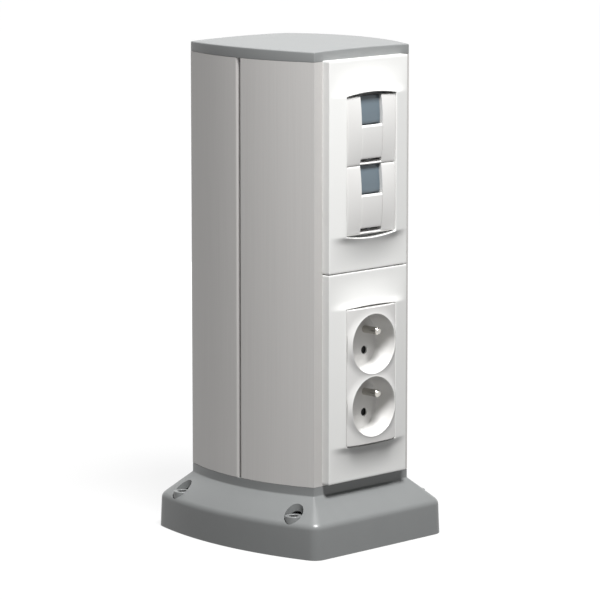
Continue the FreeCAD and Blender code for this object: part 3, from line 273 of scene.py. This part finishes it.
def skin(maker, rows, joined=False):
    """Quads along rows of points, joined back to the first row where wanted. Gives the rows back."""
    made = [ring(maker, row) for row in rows]
    for first, second in zip(made, made[1:]):
        strip_between(maker, first, second)
    if joined:
        strip_between(maker, made[-1], made[0])
    return made


def tidied(maker):
    """Joins corners that coincide and turns the faces outwards."""
    bmesh.ops.remove_doubles(maker, verts=maker.verts, dist=0.001 * MM)
    bmesh.ops.recalc_face_normals(maker, faces=maker.faces)
    return maker


def arc_radius(half_chord, rise):
    """Radius of the arc that stands this far above its chord."""
    return (half_chord ** 2 + rise ** 2) / (2 * rise)


def arc_points(start, end, radius, steps):
    """Points from start towards end, without the end, along an arc that bulges to the right of its way."""
    if radius is None:
        return [tuple(Vector(start).lerp(Vector(end), step / steps)) for step in range(steps)]
    start, end = Vector(start), Vector(end)
    chord = end - start
    right = Vector((chord.y, -chord.x)).normalized()
    centre = (start + end) / 2 - right * math.sqrt(max(radius ** 2 - chord.length_squared / 4, 0.0))
    low = math.atan2(start.y - centre.y, start.x - centre.x)
    turn = 2 * math.asin(min(chord.length / (2 * radius), 1.0))
    return [(centre.x + radius * math.cos(low + turn * step / steps),
             centre.y + radius * math.sin(low + turn * step / steps)) for step in range(steps)]


def levels(low, high, steps):
    """Evenly spaced values with both ends."""
    return [low + (high - low) * step / steps for step in range(steps + 1)]


def draw_back(maker, back):
    """Walls from a skin's open border straight back to a plane."""
    border = [edge for edge in maker.edges if edge.is_boundary]
    for part in bmesh.ops.extrude_edge_only(maker, edges=border)["geom"]:
        if isinstance(part, bmesh.types.BMVert):
            part.co.y = -back * MM


def faced_block(across, up, forward, back):
    """A block whose front stands at forward(x, z) over a grid, closed behind."""
    maker = bmesh.new()
    rows = [ring(maker, [(x, -forward(x, z), z) for z in up]) for x in across]
    for first, second in zip(rows, rows[1:]):
        strip_between(maker, first, second, closed=False)
    draw_back(maker, back)
    bmesh.ops.holes_fill(maker, edges=[edge for edge in maker.edges if edge.is_boundary])
    return tidied(maker)


def prism(half, outline):
    """A bar across the column from an outline of (forward, height) corners."""
    maker = bmesh.new()
    for row in skin(maker, [[(x, -forward, up) for forward, up in outline] for x in (-half, half)]):
        maker.faces.new(row)
    return tidied(maker)


def box_shape(across, forward, up):
    """A plain box, as a cutter."""
    maker = bmesh.new()
    bmesh.ops.create_cube(maker, size=1.0)
    for corner in maker.verts:
        for axis, (low, high) in enumerate((across, (-forward[1], -forward[0]), up)):
            corner.co[axis] = (low if corner.co[axis] < 0 else high) * MM
    return maker


def round_edges(piece, width_mm, least_degrees=60.0):
    """Rounds a piece's sharp edges."""
    soften = piece.modifiers.new("edges", "BEVEL")
    soften.width = width_mm * MM
    soften.segments = 3
    soften.limit_method = "ANGLE"
    soften.angle_limit = math.radians(least_degrees)


def lathed_shape(profile, place, axis="z", steps=64, joined=False):
    """A turned shape from (radius, distance) pairs along the axis z, or along y with distance forward."""
    maker = bmesh.new()
    rows = []
    for radius, distance in profile:
        row = []
        for step in range(steps):
            turn = 2 * math.pi * step / steps
            around = (radius * math.cos(turn), radius * math.sin(turn))
            if axis == "z":
                row.append((place[0] + around[0], place[1] + around[1], place[2] + distance))
            else:
                row.append((place[0] + around[0], place[1] - distance, place[2] + around[1]))
        rows.append(row)
    skin(maker, rows, joined=joined)
    return tidied(maker)


def carve(piece, cutters):
    """Cuts built shapes out of a piece, for good."""
    helpers = []
    for maker in cutters:
        mesh = bpy.data.meshes.new("cutter")
        maker.to_mesh(mesh)
        maker.free()
        helper = bpy.data.objects.new("cutter", mesh)
        bpy.context.scene.collection.objects.link(helper)
        cut = piece.modifiers.new("cut", "BOOLEAN")
        cut.operation = "DIFFERENCE"
        cut.solver = "EXACT"
        cut.object = helper
        helpers.append(helper)
    settle(piece)
    for helper in helpers:
        bpy.data.objects.remove(helper)


def settle(piece):
    """Makes a piece's modifiers part of its mesh."""
    bpy.context.view_layer.update()
    shaped = bpy.data.meshes.new_from_object(piece.evaluated_get(bpy.context.evaluated_depsgraph_get()))
    piece.modifiers.clear()
    piece.data = shaped
    shaped.shade_smooth()
    shaped.set_sharp_from_angle(angle=SHARP)


def hollow(piece, wall_mm):
    """Gives an open shell its wall, inwards from the face that shows."""
    walls = piece.modifiers.new("walls", "SOLIDIFY")
    walls.thickness = wall_mm * MM
    walls.offset = -1.0
    settle(piece)


# Column plan and the base's flare

HALF_WIDTH = 43.6
HALF_DEPTH = 57.5
SIDE_BULGE = 12.0
COLUMN_BOTTOM = 43.4
COLUMN_TOP = 319.4
COLUMN_CORNER = 0.6
BASE_WIDER = 15.1
BASE_DEEPER = 18.2
BASE_SIDE_BULGE = 12.5
BASE_FRONT_BULGE = 0.2
BASE_CORNER = 8.5
FLARE = 16.0
SKIRT_DRAFT = 0.6
SHOULDER_FOOT = 19.4
SHOULDER = 6.0
SLOPE_TOP = 37.4
COVER_WALL = 2.5
SCREW_SIDE = 57.5
SCREW_FRONT = 53.0
WELL_RADIUS = 6.25
BOSS_RADIUS = 5.8
BORE_RADIUS = 3.1
RING_LEVEL = 26.7
LEDGE_WIDTH = 5.0
SCREW_PLACES = [(x, y) for x in (SCREW_SIDE, -SCREW_SIDE) for y in (SCREW_FRONT, -SCREW_FRONT)]


def plan(share, inset):
    """Outline from above: 0 is the column, 1 the base where it meets the floor."""
    wide = HALF_WIDTH + BASE_WIDER * share - inset
    deep = HALF_DEPTH + BASE_DEEPER * share - inset
    side_rise = SIDE_BULGE + (BASE_SIDE_BULGE - SIDE_BULGE) * share
    front_rise = BASE_FRONT_BULGE * share
    turn = COLUMN_CORNER + (BASE_CORNER - COLUMN_CORNER) * share
    side_turn = 2 * math.atan(side_rise / deep)
    front_turn = 2 * math.atan(front_rise / wide)
    reach = turn / math.tan((math.pi / 2 + side_turn + front_turn) / 2)
    side = (wide + reach * math.sin(side_turn), deep - reach * math.cos(side_turn))
    front = (wide - reach * math.cos(front_turn), deep + reach * math.sin(front_turn))
    side_radius = arc_radius(deep, side_rise)
    front_radius = arc_radius(wide, front_rise) if front_rise > 0.01 else None
    stops = [(side[0], -side[1]), (side[0], side[1]), (front[0], front[1]), (-front[0], front[1]),
             (-side[0], side[1]), (-side[0], -side[1]), (-front[0], -front[1]), (front[0], -front[1])]
    radii = (side_radius, turn, front_radius, turn) * 2
    steps = (28, 7, 14, 7) * 2
    points = []
    for index, (radius, count) in enumerate(zip(radii, steps)):
        points += arc_points(stops[index], stops[(index + 1) % 8], radius, count)
    return points


def base_cover_shell():
    """Grey cover: a skirt, a rounded shoulder, a slope and a small hollow curve up to the collar."""
    fillet = 1.5
    edge = 0.35
    stations = [(FLARE - edge, 0.0, 0.0), (FLARE, edge, 0.0),
                (FLARE - SKIRT_DRAFT / 2, SHOULDER_FOOT / 2, 0.0)]
    for step in range(7):
        turn = math.radians(45.0 * step / 6)
        stations.append((FLARE - SKIRT_DRAFT - SHOULDER * (1 - math.cos(turn)),
                         SHOULDER_FOOT + SHOULDER * math.sin(turn), 0.0))
    fillet_level = SLOPE_TOP + fillet * (math.sqrt(2) - 1)
    slope_run = 6.0
    stations.append((slope_run, SLOPE_TOP - slope_run, 0.0))
    for step in range(5):
        turn = math.radians(45.0 * (1 - step / 4))
        stations.append((fillet * (1 - math.cos(turn)), fillet_level - fillet * math.sin(turn), 0.0))
    ledge = COLUMN_BOTTOM - COVER_WALL
    inner_drop, neck = 1.5, 0.4
    stations += [(0.0, COLUMN_BOTTOM - edge, 0.0), (0.0, COLUMN_BOTTOM, edge),
                 (0.0, COLUMN_BOTTOM, LEDGE_WIDTH), (0.0, ledge, LEDGE_WIDTH), (neck, ledge, COVER_WALL),
                 (neck, SLOPE_TOP - inner_drop, COVER_WALL),
                 (FLARE - SKIRT_DRAFT, SHOULDER_FOOT - inner_drop, COVER_WALL), (FLARE, 0.0, COVER_WALL)]
    maker = bmesh.new()
    rows = []
    for run, level, inset in stations:
        rows.append([(x, y, level) for x, y in plan(run / FLARE, inset)])
    skin(maker, rows, joined=True)
    shell = finished("base_cover_shell", tidied(maker), "grey_moulding", replaces=["base_cover"])
    floor, above = 17.0, COLUMN_BOTTOM + 2.6
    room = [(0.0, floor), (WELL_RADIUS, floor), (WELL_RADIUS, above), (0.0, above)]
    carve(shell, [lathed_shape(room, (x, y, 0.0), "z", 48) for x, y in SCREW_PLACES])
    for index, (x, y) in enumerate(SCREW_PLACES):
        screw_well(index + 1, x, y)


def screw_well(number, x, y):
    """The boss in a screw well: a flat ring with rounded edges round a deep bore, free of the well's wall."""
    edge = 0.45
    foot = 14.0
    seat = 18.6
    shank = 2.0
    profile = [(BOSS_RADIUS, foot)]
    for step in range(5):
        turn = math.radians(90.0 * step / 4)
        profile.append((BOSS_RADIUS - edge * (1 - math.cos(turn)), RING_LEVEL - edge + edge * math.sin(turn)))
    for step in range(5):
        turn = math.radians(90.0 * (1 - step / 4))
        profile.append((BORE_RADIUS + edge * (1 - math.cos(turn)), RING_LEVEL - edge + edge * math.sin(turn)))
    profile += [(BORE_RADIUS, seat), (shank, seat - 0.1), (shank, foot)]
    boss = lathed_shape(profile, (x, y, 0.0), "z", 56, joined=True)
    finished(f"screw_well_{number}", boss, "grey_moulding")
    # A thin black sleeve lines the bore: painted shade, so that the deep recess reads dark
    outside, inside = BORE_RADIUS - 0.05, BORE_RADIUS - 0.35
    low, high = seat + 0.1, RING_LEVEL - 0.6
    liner = [(outside, low), (outside, high), (inside, high), (inside, low)]
    finished(f"painted_shade_bore_{number}", lathed_shape(liner, (x, y, 0.0), "z", 40, joined=True), "dark_shutter")


def cover_screw_heads():
    """Pan heads with a cross recess at the bottom of the bores, with their shanks."""
    head, seat, tip, shank = 2.9, 18.7, 9.5, 1.9
    top = 21.1
    profile = [(0.0, tip), (shank - 0.5, tip), (shank, tip + 0.8), (shank, seat), (head, seat),
               (head, seat + 1.2), (head - 0.25, seat + 1.7), (head - 0.8, top - 0.25),
               (head - 1.6, top - 0.05), (0.0, top)]
    wing, slot, depth = 1.8, 0.4, 1.3
    for index, (x, y) in enumerate(SCREW_PLACES):
        screw = finished(f"cover_screw_{index + 1}", lathed_shape(profile, (x, y, 0.0), "z", 40),
                         "zinc_steel", replaces=["cover_screws"] if index == 0 else [])
        carve(screw, [box_shape((x - wing, x + wing), (-y - slot, -y + slot), (top - depth, top + 1.0)),
                      box_shape((x - slot, x + slot), (-y - wing, -y + wing), (top - depth, top + 1.0))])


# Cap

CAP_RIM = 6.4
DOME_RADIUS = 1460.0


def cap_shell():
    """Grey lid: an even rim under a very shallow dome, with a small rounded edge."""
    edge = 0.7
    foot = 0.25
    top = COLUMN_TOP + CAP_RIM

    def dome(x, y):
        return top + (HALF_WIDTH ** 2 + HALF_DEPTH ** 2 - x * x - y * y) / (2 * DOME_RADIUS)

    rows = [[(x, y, COLUMN_TOP) for x, y in plan(0.0, foot)],
            [(x, y, COLUMN_TOP + foot) for x, y in plan(0.0, 0.0)]]
    for step in range(6):
        turn = math.radians(90.0 * step / 5)
        rows.append([(x, y, dome(x, y) - edge * (1 - math.sin(turn)))
                     for x, y in plan(0.0, edge * (1 - math.cos(turn)))])
    rim = plan(0.0, edge)
    for share in (0.93, 0.8, 0.6, 0.4, 0.2):
        rows.append([(x * share, y * share, dome(x * share, y * share)) for x, y in rim])
    maker = bmesh.new()
    made = skin(maker, rows)
    centre = maker.verts.new(Vector((0.0, 0.0, dome(0.0, 0.0))) * MM)
    for first, second in zip(made[-1], made[-1][1:] + made[-1][:1]):
        maker.faces.new((first, second, centre))
    wall = 2.4
    under = skin(maker, [[(x, y, COLUMN_TOP) for x, y in plan(0.0, wall)],
                         [(x, y, top - wall) for x, y in plan(0.0, wall)]])
    strip_between(maker, under[0], made[0])
    maker.faces.new(under[1])
    finished("cap_lid", tidied(maker), "grey_moulding", replaces=["top_cap"])


# Panels

PANEL_HALF = 36.0
PANEL_FACE = 63.6
SWELL = 2.9
SWELL_RISE = 0.4
HUMP = 3.2
HUMP_SETTLE = 5.0
SWELL_REACH = 21.0
WINDOW_HALF = 22.7
LIP_DEPTH = 2.0
PANEL_WALL = 1.8
PANELS_FOOT = 44.7
PANELS_JOINT = 182.1
PANELS_GAP = 0.5
PANELS_TOP = 320.0
POWER_WINDOW = (68.3, 158.7)
POWER_ARCH = 0.9
DATA_WINDOW = (206.0, 296.4)
DATA_ARCH = 2.0


def beside_window(x):
    """How far the panel stands out beside its window and along the window's edge."""
    if abs(x) >= WINDOW_HALF:
        return SWELL * (PANEL_HALF - abs(x)) / (PANEL_HALF - WINDOW_HALF)
    return SWELL + SWELL_RISE * (1 - (x / WINDOW_HALF) ** 2)


def panel_swell(x, away):
    """The same at a distance above or below the window, where it settles into a smooth hump and dies out."""
    fall = max(0.0, 1 - away / SWELL_REACH) ** 2
    settled = min(1.0, away / HUMP_SETTLE)
    settled = settled * settled * (3 - 2 * settled)
    hump = HUMP * (1 - (x / PANEL_HALF) ** 2)
    return fall * (beside_window(x) + (hump - beside_window(x)) * settled)


def panel_front(name, low, high, window, arch, node):
    """White panel: sides that slope up to its window, and a smooth hump above and below it."""
    side = levels(-PANEL_HALF, -WINDOW_HALF, 8)
    across = side + levels(-WINDOW_HALF, WINDOW_HALF, 24)[1:-1] + [-x for x in reversed(side)]
    near = (0.0, 0.5, 1.1, 1.9, 2.9, 4.2)
    support = 0.8
    maker = bmesh.new()
    rows = []
    for x in across:
        share = max(0.0, 1 - (x / WINDOW_HALF) ** 2)
        bottom, top = window[0] - arch * share, window[1] + arch * share
        lower = levels(low, bottom - near[-1], 12)[:-1] + [bottom - away for away in reversed(near)]
        upper = [top + away for away in near] + levels(top + near[-1], high, 12)[1:]
        points = [(x, -PANEL_FACE - panel_swell(x, bottom - z), z) for z in lower]
        points += [(x, -PANEL_FACE - beside_window(x), z) for z in (bottom + support, top - support)]
        points += [(x, -PANEL_FACE - panel_swell(x, z - top), z) for z in upper]
        rows.append(ring(maker, points))
    beside = range(len(lower) - 1, len(lower) + 2)
    for first, second, x in zip(rows, rows[1:], across):
        for index in range(len(first) - 1):
            if index in beside and -WINDOW_HALF <= x < WINDOW_HALF:
                continue
            maker.faces.new((first[index], second[index], second[index + 1], first[index + 1]))
    bmesh.ops.delete(maker, geom=[corner for corner in maker.verts if not corner.link_faces], context="VERTS")
    # Returns to the column all round, and lips into the window
    border = [edge for edge in maker.edges if edge.is_boundary]
    clear = 4.0
    for corner in bmesh.ops.extrude_edge_only(maker, edges=border)["geom"]:
        if isinstance(corner, bmesh.types.BMVert):
            x, z = abs(corner.co.x) / MM, corner.co.z / MM
            inside = x < WINDOW_HALF + 0.1 and low + clear < z < high - clear
            corner.co.y = -(PANEL_FACE - LIP_DEPTH if inside else HALF_DEPTH) * MM
    panel = finished(name, tidied(maker), "white_panel", replaces=[node])
    round_edges(panel, 0.5, 50.0)
    hollow(panel, PANEL_WALL)


def rear_panel_front(low, high):
    """The plain white panel of the rear."""
    maker = bmesh.new()
    bmesh.ops.create_cube(maker, size=1.0)
    middle = (low + high) / 2
    for corner in maker.verts:
        corner.co.x *= 2 * PANEL_HALF * MM
        corner.co.y = (HALF_DEPTH if corner.co.y < 0 else PANEL_FACE) * MM
        corner.co.z = (middle + corner.co.z * (high - low)) * MM
    bmesh.ops.delete(maker, geom=[face for face in maker.faces if face.normal.y < -0.5], context="FACES")
    bmesh.ops.delete(maker, geom=[face for face in maker.faces
                                  if all(corner.co.y < (HALF_DEPTH + 0.1) * MM for corner in face.verts)],
                     context="FACES_ONLY")
    panel = finished("rear_panel_front", tidied(maker), "white_panel", replaces=["rear_panel"])
    round_edges(panel, 0.5, 30.0)
    hollow(panel, PANEL_WALL)


# Power sockets

MODULE_HALF = 22.4
DEVICE_FACE = 66.5
DEVICE_BACK = 56.0
RIM_RISE = 2.5
RIM_RADIUS = 19.6
CUP_FLOOR = 53.4
CUP_FLOOR_RADIUS = 18.0
RIM_LAND = 0.8
SKIRT_RADIUS = 24.8
PLATE_CROWN = 2.2
PLATE_WALL = 1.2
CONTACT_AWAY = 9.5
CONTACT_HOLE = 2.75
PIN_AWAY = 10.0
PIN_HOLE = 2.0
POWER_LOW = 68.6
POWER_HIGH = 158.4
WELLS = (134.2, 92.8)


def plate_face(x, z):
    """How far forward the socket plate stands: crowned across, and drawn up to each well's rim."""
    base = DEVICE_FACE + PLATE_CROWN * (1 - (x / MODULE_HALF) ** 4)
    left = 1.0
    for level in WELLS:
        away = math.hypot(x, z - level)
        share = (SKIRT_RADIUS - away) / (SKIRT_RADIUS - RIM_RADIUS - RIM_LAND)
        left *= 1 - max(0.0, min(1.0, share)) ** 2
    return base + (DEVICE_FACE + RIM_RISE - base) * (1 - left)


def socket_front():
    """White double socket: two round wells in one crowned plate."""
    middle = (POWER_LOW + POWER_HIGH) / 2
    steps = 128
    outer_steps = 10
    land = RIM_RADIUS + RIM_LAND
    round_top = DEVICE_FACE + RIM_RISE
    # The well from its rim down to the floor, as radius and distance forward
    well = [(land - 0.25, round_top + 0.12), (RIM_RADIUS + 0.2, round_top + 0.1),
            (RIM_RADIUS - 0.05, round_top - 0.25), (RIM_RADIUS - 0.12, round_top - 1.0),
            (CUP_FLOOR_RADIUS + 0.1, CUP_FLOOR + 1.0),
            (CUP_FLOOR_RADIUS - 0.25, CUP_FLOOR + 0.3), (CUP_FLOOR_RADIUS - 1.0, CUP_FLOOR),
            (CUP_FLOOR_RADIUS * 0.75, CUP_FLOOR)]
    maker = bmesh.new()
    for level in WELLS:
        bottom, top = (middle, POWER_HIGH) if level > middle else (POWER_LOW, middle)
        rows = [[] for _ in range(outer_steps + 1 + len(well))]
        corners = [math.atan2(edge - level, side)
                   for edge in (bottom, top) for side in (-MODULE_HALF, MODULE_HALF)]
        for step in range(steps):
            turn = 2 * math.pi * (step + 0.5) / steps - math.pi
            # The nearest spoke goes right into each corner of the plate
            turn = next((corner for corner in corners if abs(corner - turn) < math.pi / steps), turn)
            across, up = math.cos(turn), math.sin(turn)
            reach_x = MODULE_HALF / abs(across)
            reach_z = ((top - level) if up > 0 else (level - bottom)) / abs(up)
            points = []
            for radius in levels(min(reach_x, reach_z), land, outer_steps):
                points.append((radius, plate_face(radius * across, level + radius * up)))
            for row, (radius, forward) in zip(rows, points + well):
                row.append((radius * across, -forward, level + radius * up))
        made = skin(maker, rows)
        maker.faces.new(made[-1])
    bmesh.ops.remove_doubles(maker, verts=maker.verts, dist=0.05 * MM)
    draw_back(maker, DEVICE_BACK)
    plate = finished("double_socket_front", tidied(maker), "device_white", replaces=["socket_plate"])
    round_edges(plate, 0.4)
    hollow(plate, PLATE_WALL)
    contact = CONTACT_AWAY * math.sqrt(0.5)
    pin = PIN_AWAY * math.sqrt(0.5)
    behind, before = 50.0, DEVICE_BACK
    holes = []
    for level in WELLS:
        for x, z, radius in ((contact, level - contact, CONTACT_HOLE),
                             (-contact, level + contact, CONTACT_HOLE), (pin, level + pin, PIN_HOLE)):
            hole = [(0.0, behind), (radius, behind), (radius, before), (0.0, before)]
            holes.append(lathed_shape(hole, (x, 0.0, z), "y", 32))
    carve(plate, holes)


# Data sockets

DATA_SOCKETS = {"lower": 206.3, "upper": 251.3}
STRIP_HALF = 9.7
SILL = 2.5
SILL_FACE = 0.8
SILL_RAMP = 1.6
TOP_BAR = 1.6
SLOT_HEIGHT = 1.5
LEAF_SHOWN = 19.0
JOINT = 0.15
CROWN = 1.2
CROSS_CROWN = 0.6
CAVITY_BACK = 59.0
NOTCH_BACK = 61.8
LABEL_BACK = 64.9
LABEL_CHAMFER = 1.2
LEAF_GAP = 0.3
LEAF_FACE = 64.6
LEAF_WALL = 1.0
LEAF_BOW = 1.5
BOW_RUN = 16.0
CURL_RUN = 3.0
LEAF_LENGTH = 20.3
FOOT_BACK = 61.3
FOOT_FACE = 62.6
FOOT_LEVEL = 23.3
SPRING_FORWARD = (61.95, 62.95)
SPRING_WIRE = 0.4
SPRING_HALF = 0.9
BEND_REACH = 0.7
SPRING_LEGS = 7


def pillow_face(x, from_middle):
    """How far forward a data socket stands: crowned along the column and a little across it."""
    along = 1 - (from_middle / MODULE_HALF) ** 2
    return DEVICE_FACE - CROWN + along * (CROWN + CROSS_CROWN * (1 - (x / MODULE_HALF) ** 2))


def data_frame_front(label, low):
    """White frame: two cheeks, a ramped sill under the slot, and a rear wall with the jack's opening."""
    middle, high = low + MODULE_HALF, low + 2 * MODULE_HALF
    block = faced_block(levels(-MODULE_HALF, MODULE_HALF, 20), levels(low, high, 24),
                        lambda x, z: pillow_face(x, z - middle), DEVICE_BACK)
    frame = finished(f"data_frame_front_{label}", block, "device_white", replaces=[f"data_frame_{label}"])
    round_edges(frame, 0.45)
    far = DEVICE_FACE + 3.0
    lip = DEVICE_FACE - CROWN
    cheeks = (-STRIP_HALF, STRIP_HALF)
    jack_half, jack_low, jack_high = 7.4, low + 26.55, low + 42.85
    carve(frame, [
        box_shape(cheeks, (CAVITY_BACK, far), (low + SILL, high - TOP_BAR)),
        box_shape(cheeks, (NOTCH_BACK, far), (high - TOP_BAR - 0.1, high + 1.0)),
        box_shape((-jack_half, jack_half), (DEVICE_BACK - 1.0, CAVITY_BACK + 1.0), (jack_low, jack_high)),
        prism(STRIP_HALF, [(far, low + SILL_FACE), (lip, low + SILL_FACE), (lip - SILL_RAMP, low + SILL),
                           (lip - SILL_RAMP, low + SILL + 0.5), (far, low + SILL + 0.5)]),
    ])


def label_strip(label, low):
    """White strip below the shutter, flush with the cheeks, its upper edge cut back to a bright chamfer."""
    middle = low + MODULE_HALF
    bottom, top = low + SILL + SLOT_HEIGHT, low + 2 * MODULE_HALF - LEAF_SHOWN
    edge = top - LABEL_CHAMFER

    def face(x, z):
        return pillow_face(x, min(z, edge) - middle) - max(0.0, z - edge)

    half = STRIP_HALF - JOINT
    block = faced_block(levels(-half, half, 10), levels(bottom, edge, 14) + [top], face, LABEL_BACK)
    strip = finished(f"label_strip_{label}", block, "device_white", replaces=[f"label_panel_{label}"])
    round_edges(strip, 0.18, 50.0)
    settle(strip)


def shutter_leaf(label, low):
    """Blue-grey leaf, bowed forwards as it goes down and curled in behind the label strip, and its foot."""
    top = low + 2 * MODULE_HALF - LEAF_GAP
    face = []
    for run in levels(0.0, LEAF_LENGTH, 28):
        short = 1 - run / BOW_RUN
        back = LEAF_BOW * short ** 2 if run < BOW_RUN else ((run - BOW_RUN) / CURL_RUN) ** 2
        face.append((LEAF_FACE - back, top - run))
    inner = [(forward - LEAF_WALL, up) for forward, up in reversed(face)]
    leaf = prism(STRIP_HALF - LEAF_GAP, face + inner)
    foot_half, foot_low, foot_high = 2.0, low + FOOT_LEVEL, low + FOOT_LEVEL + 2.0
    foot = [(FOOT_FACE, foot_low), (FOOT_FACE, foot_high), (FOOT_BACK, foot_high), (FOOT_BACK, foot_low)]
    body = f"{label}_dust_shutter"
    piece = finished(f"shutter_leaf_{label}", leaf, "blue_grey_shutter", body=body,
                     replaces=[f"data_shutter_{label}"])
    round_edges(piece, 0.2, 70.0)
    settle(piece)
    finished(f"shutter_foot_{label}", prism(foot_half, foot), "blue_grey_shutter", body=body)


def folding_spring(label, low):
    """Wire bent to and fro between the sill and the shutter's foot."""
    foot, head = low + SILL, low + FOOT_LEVEL
    rise = (head - foot - SPRING_WIRE) / (SPRING_LEGS - 1)
    back, front = SPRING_FORWARD
    rows = []
    for leg in range(SPRING_LEGS):
        way = 1 if leg % 2 == 0 else -1
        level = foot + SPRING_WIRE / 2 + rise * leg
        turns = [math.pi * step / 8 for step in range(8)] if leg < SPRING_LEGS - 1 else [0.0]
        stops = [(-SPRING_HALF * way, level, 0.0)]
        stops += [(way * (SPRING_HALF + BEND_REACH * math.sin(turn)),
                   level + rise / 2 * (1 - math.cos(turn)), turn) for turn in turns]
        for x, z, turn in stops:
            heading = (1 - way) * math.pi / 2 + way * turn
            aside = Vector((math.sin(heading), -math.cos(heading))) * SPRING_WIRE / 2
            rows.append([(x + side * aside.x, -forward, z + side * aside.y)
                         for side, forward in ((1, back), (1, front), (-1, front), (-1, back))])
    maker = bmesh.new()
    made = skin(maker, rows)
    for end in (made[0], made[-1]):
        maker.faces.new(end)
    spring = finished(f"folding_spring_{label}", tidied(maker), "spring_steel",
                      replaces=[f"shutter_spring_{label}"])
    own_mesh(spring)


base_cover_shell()
cap_shell()
panel_front("lower_panel_front", PANELS_FOOT, PANELS_JOINT, POWER_WINDOW, POWER_ARCH, "lower_panel")
panel_front("upper_panel_front", PANELS_JOINT + PANELS_GAP, PANELS_TOP, DATA_WINDOW, DATA_ARCH, "upper_panel")
rear_panel_front(PANELS_FOOT, PANELS_TOP)
socket_front()
cover_screw_heads()
for label, low in DATA_SOCKETS.items():
    data_frame_front(label, low)
    label_strip(label, low)
    shutter_leaf(label, low)
    folding_spring(label, low)


# Studio: camera, floor, world and lamps

CAMERA_AT = Vector((-1658.86, -1679.49, 540.60)) * MM
CAMERA_YAW = -0.77938
CAMERA_PITCH = 0.16191
FOCAL_PIXELS = 3613.3
FRAME_PIXELS = 600.0
SENSOR_MM = 36.0


def studio_camera():
    """A long lens at the photograph's angle, a little above the column."""
    lens = bpy.data.cameras.new("portrait_camera")
    lens.sensor_width = SENSOR_MM
    lens.lens = SENSOR_MM * FOCAL_PIXELS / FRAME_PIXELS
    lens.clip_start = 0.1
    lens.clip_end = 50.0
    camera = bpy.data.objects.new("portrait_camera", lens)
    camera.location = CAMERA_AT
    camera.rotation_euler = (math.pi / 2 - CAMERA_PITCH, 0.0, CAMERA_YAW)
    bpy.context.scene.collection.objects.link(camera)
    bpy.context.scene.camera = camera


def soft_lamp(name, place_mm, aim_mm, width_mm, watts, mirrored=True):
    """A square soft box, aimed at a point. One that isn't mirrored shows in no glossy surface."""
    light = bpy.data.lights.new(name, "AREA")
    light.shape = "SQUARE"
    light.size = width_mm * MM
    light.energy = watts
    lamp = bpy.data.objects.new(name, light)
    lamp.location = Vector(place_mm) * MM
    way = (Vector(aim_mm) - Vector(place_mm)).normalized()
    lamp.rotation_euler = way.to_track_quat("-Z", "Y").to_euler()
    lamp.visible_glossy = mirrored
    bpy.context.scene.collection.objects.link(lamp)


def seen_directly(tree):
    """1 for rays that the eye, a mirror or a clear piece sends, 0 for light that scatters."""
    path = add(tree, "ShaderNodeLightPath")
    direct = add(tree, "ShaderNodeMath", {"operation": "MAXIMUM"},
                 {0: path.outputs["Is Camera Ray"], 1: path.outputs["Is Glossy Ray"]})
    return add(tree, "ShaderNodeMath", {"operation": "MAXIMUM"},
               {0: direct.outputs[0], 1: path.outputs["Is Transmission Ray"]}).outputs[0]


def white_world(fill):
    """White to look at, and a faint cool fill for the light that scatters."""
    world = bpy.data.worlds.new("white_studio")
    world.use_nodes = True
    tree = world.node_tree
    tree.nodes.clear()
    seen = add(tree, "ShaderNodeBackground", {"Color": linear("#FFFFFF"), "Strength": 1.0})
    lit = add(tree, "ShaderNodeBackground", {"Color": linear("#F4F7FA"), "Strength": fill})
    blend = add(tree, "ShaderNodeMixShader",
                links={0: seen_directly(tree), 1: lit.outputs[0], 2: seen.outputs[0]})
    add(tree, "ShaderNodeOutputWorld", links={"Surface": blend.outputs[0]})
    bpy.context.scene.world = world


def pale_floor(half_mm):
    """White paper to look at, which keeps the object's shadow."""
    half = half_mm * MM
    # A hair below the object's foot, so the two don't coincide
    level = -0.05 * MM
    mesh = bpy.data.meshes.new("pale_floor")
    edge = [(-half, -half, level), (half, -half, level), (half, half, level), (-half, half, level)]
    mesh.from_pydata(edge, [], [(0, 1, 2, 3)])
    floor = bpy.data.objects.new("pale_floor", mesh)
    bpy.context.scene.collection.objects.link(floor)
    material = bpy.data.materials.new("white_studio_paper")
    material.use_nodes = True
    tree = material.node_tree
    tree.nodes.clear()
    paper = add(tree, "ShaderNodeBsdfDiffuse", {"Color": linear("#5C5C5C")})
    # Near the object the paper glows less, by what the lamp adds there, so the object's shadow shows
    place = add(tree, "ShaderNodeTexCoord").outputs["Object"]
    away = add(tree, "ShaderNodeVectorMath", {"operation": "LENGTH"}, {0: place}).outputs["Value"]
    share = add(tree, "ShaderNodeMapRange",
                {"From Min": 0.2, "From Max": 0.9, "To Min": 0.88, "To Max": 1.0}, {0: away}).outputs[0]
    strength = add(tree, "ShaderNodeMath", {"operation": "MULTIPLY"}, {0: share, 1: seen_directly(tree)})
    glow = add(tree, "ShaderNodeEmission", {"Color": linear("#FFFFFF")}, {"Strength": strength.outputs[0]})
    both = add(tree, "ShaderNodeAddShader", links={0: paper.outputs[0], 1: glow.outputs[0]})
    add(tree, "ShaderNodeOutputMaterial", links={"Surface": both.outputs[0]})
    mesh.materials.append(material)


studio_camera()
white_world(fill=0.02)
pale_floor(half_mm=4000.0)
soft_lamp("key_box", place_mm=(-270.0, -593.0, 1380.0), aim_mm=(0.0, -40.0, 180.0), width_mm=400.0,
          watts=35.0)
# Fills the rear side; its own mirror image would show in the cap, so it has none
soft_lamp("back_box", place_mm=(450.0, 1000.0, 330.0), aim_mm=(0.0, 0.0, 160.0), width_mm=900.0, watts=8.0,
          mirrored=False)

bpy.context.scene.view_settings.view_transform = "Standard"
